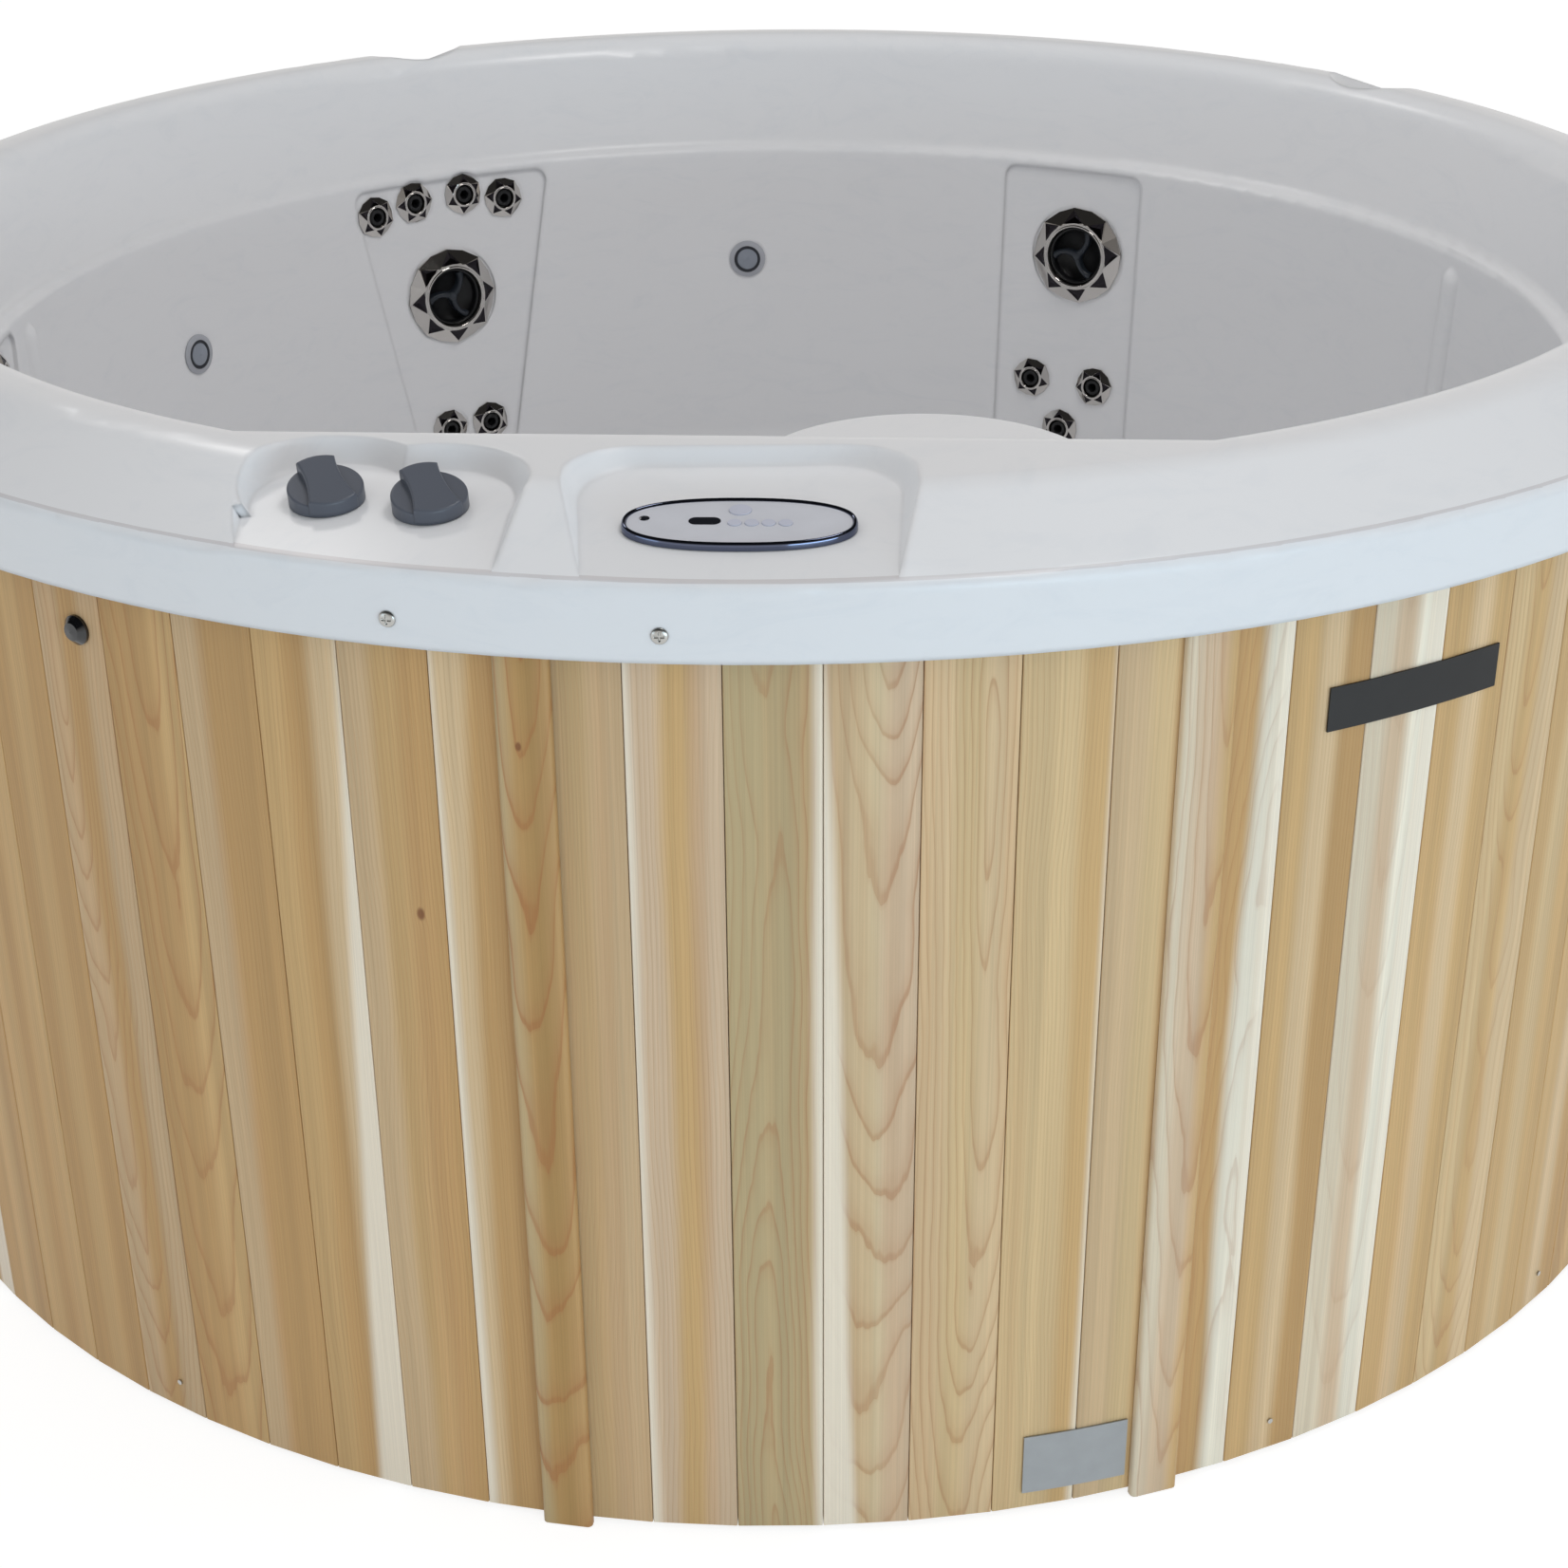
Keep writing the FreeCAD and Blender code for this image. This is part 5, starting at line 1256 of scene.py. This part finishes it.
@dataclass
class JetRotor:
    """Turning face of a big jet: a deep cup with three swept spokes, in millimetres.

    Attributes:
        node: CAD node and body of the rotor.
        frame: Frame of its axis.
        radius: Radius of its rim.
        hub_radius: Radius of its hub.
        floor: Height of the cup's floor.
        spokes: Number of spokes.
        turn: Where the first spoke starts.
        sweep: How far a spoke sweeps round.
        sweep_power: How late it does so.
        steps: Segments along a spoke.
    """

    node: str
    frame: Matrix
    radius: float = 38.3
    hub_radius: float = 6.0
    floor: float = -6.0
    spokes: int = 3
    turn: float = -19.0
    sweep: float = 26.0
    sweep_power: float = 1.6
    steps: int = 18

    def spoke(self, sketch: Sketch, start: float) -> None:
        """Adds one spoke that leaves the hub at an angle and sweeps round as it goes out.

        Args:
            sketch: Sketch that gets the spoke.
            start: Angle at which it leaves, in radians.
        """
        section = ((-1.0, 13.0), (-1.0, 1.6), (-0.5, 0.3), (0.0, 0.0), (0.5, 0.3), (1.0, 1.6),
                   (1.0, 13.0))
        sweep, power = math.radians(self.sweep), self.sweep_power
        points = []
        for step in range(self.steps + 1):
            share = step / self.steps
            reach = 2.0 + (self.radius - 6.0) * share
            angle = start + sweep * share ** power
            half = 4.4 - 4.2 * share + 4.4 * share ** 2.5
            top = 6.8 - 1.6 * share
            bend = sweep * power * share ** (power - 1.0) * reach
            heading = angle + math.atan2(bend, self.radius)
            for across, drop in section:
                points.append((reach * math.cos(angle) - math.sin(heading) * across * half,
                               reach * math.sin(angle) + math.cos(heading) * across * half,
                               top - drop))
        width = len(section)
        corners = [row * width + index for row in range(self.steps) for index in range(width - 1)]
        faces = [[corner, corner + width, corner + width + 1, corner + 1] for corner in corners]
        sketch.add(points, faces, True, 1)

    def build(self) -> bpy.types.Object:
        """Builds the rotor.

        Returns:
            The rotor.
        """
        sketch = Sketch()
        rim = ((0.0, -9.8), (0.0, 6.6), (0.8, 7.8), (2.2, 7.9), (3.6, 6.4), (4.4, 0.0),
               (5.2, self.floor))
        cup = [(self.radius - inset, height) for inset, height in rim]
        sketch.lathe([*cup, (self.hub_radius, self.floor)], 72, close=True)
        hub = [(self.hub_radius, self.floor), (self.hub_radius, 5.6), (4.6, 6.8), (2.2, 7.2),
               (0.5, 7.3)]
        sketch.lathe(hub, 32, 1, close=True)
        for number in range(self.spokes):
            self.spoke(sketch, math.tau * number / self.spokes + math.radians(self.turn))
        piece = sketch.build(self.node + "_look", self.frame, [BLACK_PLASTIC, SPOKE_PLASTIC])
        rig.ride(piece, self.node)
        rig.replaces(piece, self.node)
        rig.slot(piece, "black_plastic")
        return piece


@dataclass
class Keypad:
    """Ring of the keypad, the film's edge inside it and its indicator.

    Attributes:
        place: Centre of the keypad in plan, in millimetres.
        azimuth: Way that its pocket faces.
        slope: Slope of the pocket's floor.
        half_length: Half of the ring's length.
        half_width: Half of its width.
        fullness: Power of its oval; 2 is an ellipse.
        floor: Height of the pocket's floor at the lip, and the lip's radius.
        film_height: Height of the film's edge above the floor.
        film_reach: Half lengths of the oval film, which the edge fills out to the ring.
        indicator: Place of the indicator.
        steps: Corners of each oval.
    """

    place: tuple[float, float] = (-29.0, -972.0)
    azimuth: float = -1.7
    slope: float = 7.0
    half_length: float = 92.0
    half_width: float = 40.0
    fullness: float = 2.35
    floor: tuple[float, float] = (930.4, 1067.0)
    film_height: float = 5.03
    film_reach: tuple[float, float] = (86.6, 34.6)
    indicator: tuple[float, float] = (-74.0, 6.0)
    steps: int = 128

    def frame(self) -> Matrix:
        """Gives the frame on the pocket's floor.

        Returns:
            Matrix whose X runs along the keypad and whose Z points away from the floor.
        """
        turn = math.radians(self.azimuth)
        x, y = self.place
        outwards = x * math.sin(turn) - y * math.cos(turn)
        height = self.floor[0] + (self.floor[1] - outwards) * math.tan(math.radians(self.slope))
        tilt = Matrix.Rotation(turn, 4, "Z") @ Matrix.Rotation(math.radians(self.slope), 4, "X")
        return Matrix.Translation(Vector((x, y, height)) * MM) @ tilt

    def outline(self, inset: float, height: float) -> list[tuple[float, float, float]]:
        """Gives the ring's full oval outline, or one inside it.

        Args:
            inset: How far inside the outline the points lie.
            height: Height of the points.

        Returns:
            The points, counted anticlockwise.
        """
        power = 2.0 / self.fullness
        length, width = self.half_length - inset, self.half_width - inset
        return [(math.copysign(abs(cosine) ** power, cosine) * length,
                 math.copysign(abs(sine) ** power, sine) * width, height)
                for cosine, sine in circle(self.steps)]

    def build(self) -> bpy.types.Object:
        """Builds the ring round the film, the film's edge and the indicator.

        Returns:
            Them as one piece.
        """
        profile = ((0.0, 0.5), (0.05, 3.6), (0.5, 5.4), (1.4, 6.6), (2.4, 6.9), (3.4, 6.5),
                   (4.2, 5.6), (4.45, 4.9))
        sketch = Sketch()
        sketch.loops([self.outline(inset, height) for inset, height in profile])
        film = self.film_height
        length, width = self.film_reach
        inner = [(cosine * length, sine * width, film) for cosine, sine in circle(self.steps)]
        sketch.loops([self.outline(4.3, film), inner], finish=1)
        lamp = [(4.1, film - 0.1), (4.1, film + 0.25), (3.7, film + 0.45), (1.5, film + 0.6)]
        sketch.lathe(lamp, 32, 2, True, self.indicator)
        piece = sketch.build("keypad_ring_look", self.frame(), [DARK_CHROME, KEYPAD_FILM, DISPLAY])
        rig.ride(piece, "tub")
        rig.replaces(piece, "keypad_bezel")
        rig.slot(piece, "keypad_frame")
        return piece


@dataclass
class LightGaskets:
    """Rubber gaskets in the grooves between the wall lights' rings and lenses.

    Attributes:
        places: Middle of each lens's foot, in metres.
        axes: Way that each light faces.
        profile: Radius and height of the gasket's section, in millimetres.
    """

    places: tuple[tuple[float, float, float], ...] = (
        (-0.73438, 0.42025, 0.67189), (-0.03868, 0.84546, 0.6771))
    axes: tuple[tuple[float, float, float], ...] = (
        (0.86995, -0.49120, 0.04374), (0.05141, -0.99772, 0.04374))
    profile: tuple[tuple[float, float], ...] = (
        (16.7, 2.0), (16.7, 3.52), (18.3, 3.52), (18.1, 3.85), (16.6, 4.1), (15.0, 3.8),
        (14.4, 3.2), (15.55, 2.0), (16.7, 2.0))

    def build(self) -> bpy.types.Object:
        """Builds the gaskets.

        Returns:
            Them as one piece.
        """
        gasket, joined = Sketch(), Sketch()
        gasket.lathe(self.profile, 48)
        for place, axis in zip(self.places, self.axes):
            frame = axis_frame(place, axis)
            joined.add([frame @ (Vector(point) * MM) / MM for point in gasket.points], gasket.faces)
        piece = joined.build("light_gaskets", Matrix.Identity(4), [RUBBER])
        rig.ride(piece, "tub")
        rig.slot(piece, "black_plastic")
        return piece


@dataclass
class LipScrews:
    """Cross-head screws through the skirt. Their heads are drawn in millimetres.

    Attributes:
        azimuths: Where they stand.
        height: Their height.
        radius: Distance of the skirt from the axis.
        head_radius: Radius of a head.
        head_height: Height of a head.
        head_edge: Height of the head's edge.
        cross_reach: Half the length of the cross.
        cross_half: Half the width of its slots.
        cross_depth: Depth of its slots.
        cross_turn: How far the cross is turned, in radians.
    """

    azimuths: tuple[float, ...] = (-16.3, -4.8)
    height: float = 0.890
    radius: float = 1.067
    head_radius: float = 6.9
    head_height: float = 2.9
    head_edge: float = 0.4
    cross_reach: float = 4.2
    cross_half: float = 1.0
    cross_depth: float = 1.3
    cross_turn: float = 0.4

    def head(self, sketch: Sketch, frame: Matrix) -> None:
        """Adds one domed head with its cross.

        Args:
            sketch: Sketch that gets the head, in the row frame's millimetres.
            frame: Frame of the screw's axis.
        """
        rings, segments = 18, 72
        loops = []
        for ring in range(rings + 1):
            reach = self.head_radius * (1.0 - ring / rings * 0.985)
            bulge = math.sqrt(max(0.0, 1.0 - (reach / self.head_radius) ** 2.6))
            loop = []
            for cosine, sine in circle(segments, self.cross_turn):
                x, y = reach * cosine, reach * sine
                dome = self.head_edge + (self.head_height - self.head_edge) * bulge
                slot = min(abs(x), abs(y))
                if reach < self.cross_reach and slot < self.cross_half:
                    end, side = (self.cross_reach - reach) / 0.8, (self.cross_half - slot) / 0.35
                    dome -= self.cross_depth * min(1.0, end) * min(1.0, side)
                loop.append(frame @ (Vector((x, y, dome)) * MM) / MM)
            loops.append(loop)
        sketch.loops(loops, close=True)

    def build(self) -> bpy.types.Object:
        """Builds the screws.

        Returns:
            Them as one piece.
        """
        sketch = Sketch()
        for azimuth in self.azimuths:
            place = polar(azimuth, self.radius, self.height)
            self.head(sketch, axis_frame(place, polar(azimuth, 1.0, 0.0)))
        piece = sketch.build("lip_screws_look", Matrix.Identity(4), [STEEL])
        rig.ride(piece, "tub")
        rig.replaces(piece, "lip_screws")
        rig.slot(piece, "steel")
        return piece


def find_jets(joints: Sequence[dict]) -> list[JetBezel | JetRotor]:
    """Finds every bezel and rotor, each at its joint.

    Args:
        joints: Joints of the record.

    Returns:
        The bezels and rotors, in the order of their joints.
    """
    jets = []
    for number, joint in enumerate(joints):
        node = joint["child"]
        if not node.startswith("jet_"):
            continue
        frame = axis_frame(joint["pos_m"], joint["axis"])
        if node.startswith("jet_rotor"):
            jets.append(JetRotor(node, frame))
        else:
            size = JetSize.BIG if JetSize.BIG.value in node else JetSize.SMALL
            jets.append(JetBezel(node, size, frame, (7.0 + 23.0 * number) % 60.0))
    return jets


# Studio


@dataclass
class Studio:
    """Camera, lamps and backdrop, as the photograph has them.

    Attributes:
        camera_place: Where the camera stands.
        pitch: How far it looks down.
        roll: How far it leans.
        lens: Focal length, in millimetres.
        sensor: Width of the sensor, in millimetres.
        shift: Sideways and upward shift of the sensor.
        floor_reach: Half the width of the floor.
        floor_colour: sRGB colour of the floor as it lights the tub.
        shown_colour: sRGB colour that the lamps add where the floor is seen.
        shown_glow: Strength of its own light where it is seen.
        ambient: Strength of the surround as a light.
    """

    camera_place: tuple[float, float, float] = (0.0, -2.974, 1.674)
    pitch: float = 28.16
    roll: float = -0.484
    lens: float = 62.56
    sensor: float = 36.0
    shift: tuple[float, float] = (0.0024, 0.083)
    floor_reach: float = 30.0
    floor_colour: str = "F2F2F2"
    shown_colour: str = "9E9E9E"
    shown_glow: float = 0.82
    ambient: float = 0.62

    def camera(self) -> None:
        """Places the camera."""
        data = bpy.data.cameras.new("camera")
        data.lens = self.lens
        data.sensor_width = self.sensor
        data.shift_x, data.shift_y = self.shift
        camera = bpy.data.objects.new("camera", data)
        bpy.context.scene.collection.objects.link(camera)
        pitch, roll = math.radians(self.pitch), math.radians(self.roll)
        forward = Vector((0, math.cos(pitch), -math.sin(pitch)))
        level_up = Vector((0, math.sin(pitch), math.cos(pitch)))
        level_right = Vector((1, 0, 0))
        right = level_right * math.cos(roll) + level_up * math.sin(roll)
        up = level_up * math.cos(roll) - level_right * math.sin(roll)
        turn = Matrix((right, up, -forward)).transposed()
        camera.matrix_world = Matrix.Translation(self.camera_place) @ turn.to_4x4()
        bpy.context.scene.camera = camera

    def lamp(self, name: str, place: Sequence[float], size: Sequence[float], power: float,
             colour: str, aim: Sequence[float]) -> None:
        """Adds a rectangular lamp that faces a point.

        Args:
            name: Name of the lamp.
            place: Where it hangs.
            size: Its width and height.
            power: Its power, in watts.
            colour: sRGB colour of its light.
            aim: Point that it faces.
        """
        data = bpy.data.lights.new(name, "AREA")
        data.shape = "RECTANGLE"
        data.size, data.size_y = size
        data.energy = power
        data.color = linear(colour)[:3]
        lamp = bpy.data.objects.new(name, data)
        lamp.location = place
        lamp.rotation_euler = (Vector(aim) - Vector(place)).to_track_quat("-Z", "Y").to_euler()
        bpy.context.scene.collection.objects.link(lamp)
        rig.stage(lamp)

    def backdrop(self) -> None:
        """Lays a floor that is white where the lamps reach it and keeps the tub's soft shadow."""
        reach = self.floor_reach
        corners = [(-reach, -reach, 0), (reach, -reach, 0), (reach, reach, 0), (-reach, reach, 0)]
        floor = mesh_object("floor", corners, [[0, 1, 2, 3]], smooth=False)
        material = bpy.data.materials.new("floor")
        tree = bare_tree(material)
        path = add_node(tree, "ShaderNodeLightPath")
        seen = path["Is Camera Ray"].calc("MAXIMUM", path["Is Transmission Ray"])
        seen = seen.calc("MAXIMUM", path["Is Glossy Ray"])
        glow = add_node(tree, "ShaderNodeEmission",
                        {"Color": (1, 1, 1, 1), "Strength": self.shown_glow})
        shadowed = add_node(tree, "ShaderNodeBsdfDiffuse", {"Color": linear(self.shown_colour)})
        white = add_node(tree, "ShaderNodeAddShader", {0: glow, 1: shadowed})
        matt = add_node(tree, "ShaderNodeBsdfDiffuse", {"Color": linear(self.floor_colour)})
        mix = add_node(tree, "ShaderNodeMixShader", {0: seen, 1: matt, 2: white})
        add_node(tree, "ShaderNodeOutputMaterial", {"Surface": mix})
        floor.data.materials.append(material)
        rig.stage(floor)

    def world(self) -> None:
        """Sets a plain surround: white to the camera, dimmer as a light and graded in mirrors."""
        world = bpy.data.worlds.new("world")
        bpy.context.scene.world = world
        tree = bare_tree(world)
        path = add_node(tree, "ShaderNodeLightPath")
        white = add_node(tree, "ShaderNodeBackground", {"Color": (1, 1, 1, 1), "Strength": 1.0})
        light = add_node(tree, "ShaderNodeBackground",
                         {"Color": linear("F8F9F9"), "Strength": self.ambient})
        facing = add_node(tree, "ShaderNodeTexCoord", output="Generated")
        up = add_node(tree, "ShaderNodeSeparateXYZ", {0: facing})["Z"]
        level = add_node(tree, "ShaderNodeMapRange",
                         {"Value": up, "From Min": 0.1, "From Max": 0.42, "To Min": 0.9,
                          "To Max": 0.03})
        mirrored = add_node(tree, "ShaderNodeBackground",
                            {"Color": linear("F6F2EE"), "Strength": level})
        lit = add_node(tree, "ShaderNodeMixShader",
                       {0: path["Is Glossy Ray"], 1: light, 2: mirrored})
        seen = path["Is Camera Ray"].calc("MAXIMUM", path["Is Transmission Ray"])
        mix = add_node(tree, "ShaderNodeMixShader", {0: seen, 1: lit, 2: white})
        add_node(tree, "ShaderNodeOutputWorld", {"Surface": mix})

    def build(self) -> None:
        """Sets up the whole studio."""
        scene = bpy.context.scene
        scene.view_settings.view_transform = "Standard"
        scene.view_settings.look = "None"
        self.camera()
        self.world()
        self.backdrop()
        self.lamp("rear ceiling", (-1.3, 1.9, 3.2), (0.7, 0.5), 8.0, "FFFDFB", (0.1, -0.7, 0.9))
        self.lamp("front ceiling", (0.9, -0.7, 3.5), (1.0, 0.7), 21.0, "FFFDFB", (0.0, 0.0, 0.7))
        self.lamp("front", (2.4, -4.4, 0.95), (3.4, 1.0), 60.0, "CFEDFF", (0.0, -1.0, 0.7))
        self.lamp("side", (-3.6, -3.4, 1.1), (2.4, 1.0), 13.0, "CFEDFF", (0.0, -1.0, 0.7))


def finish_nodes(nodes: dict[str, bpy.types.Object]) -> None:
    """Gives every CAD node its finish.

    Args:
        nodes: CAD nodes by name.
    """
    for name, node in nodes.items():
        node.data.materials.clear()
        node.data.materials.append(finish_for(name).material())
        log.info("%s: finish only", name)


def write_sizes(cad: tuple[Vector, Vector], shown: tuple[Vector, Vector]) -> None:
    """Notes the CAD's box and the shown object's box.

    Args:
        cad: Lowest and highest corner of the CAD.
        shown: Lowest and highest corner of what the scene shows.
    """
    boxes = {"cad": [list(corner) for corner in cad], "visual": [list(corner) for corner in shown]}
    with open(SIZE_FILE, "w") as handle:
        json.dump(boxes, handle, indent=1)


def main() -> None:
    """Builds the whole scene."""
    logging.basicConfig(level=logging.INFO, format="%(name)s %(message)s")
    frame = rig.load()
    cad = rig.bounds()
    finish_nodes(frame["nodes"])
    first, last = DOOR_JOINTS
    door_boards = last - first
    parts = [
        Cladding("fixed_staves", "tub", last, BOARDS_IN_RING - door_boards),
        Cladding("door_staves", "access_door", first, door_boards),
        Battens(), *find_jets(frame["joints"]), Keypad(), LightGaskets(), LipScrews()]
    for part in parts:
        piece = part.build()
        log.info("%s: %d faces", piece.name, len(piece.data.polygons))
    Studio().build()
    bpy.context.view_layer.update()
    write_sizes(cad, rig.bounds())


if __name__ == "__main__":
    main()
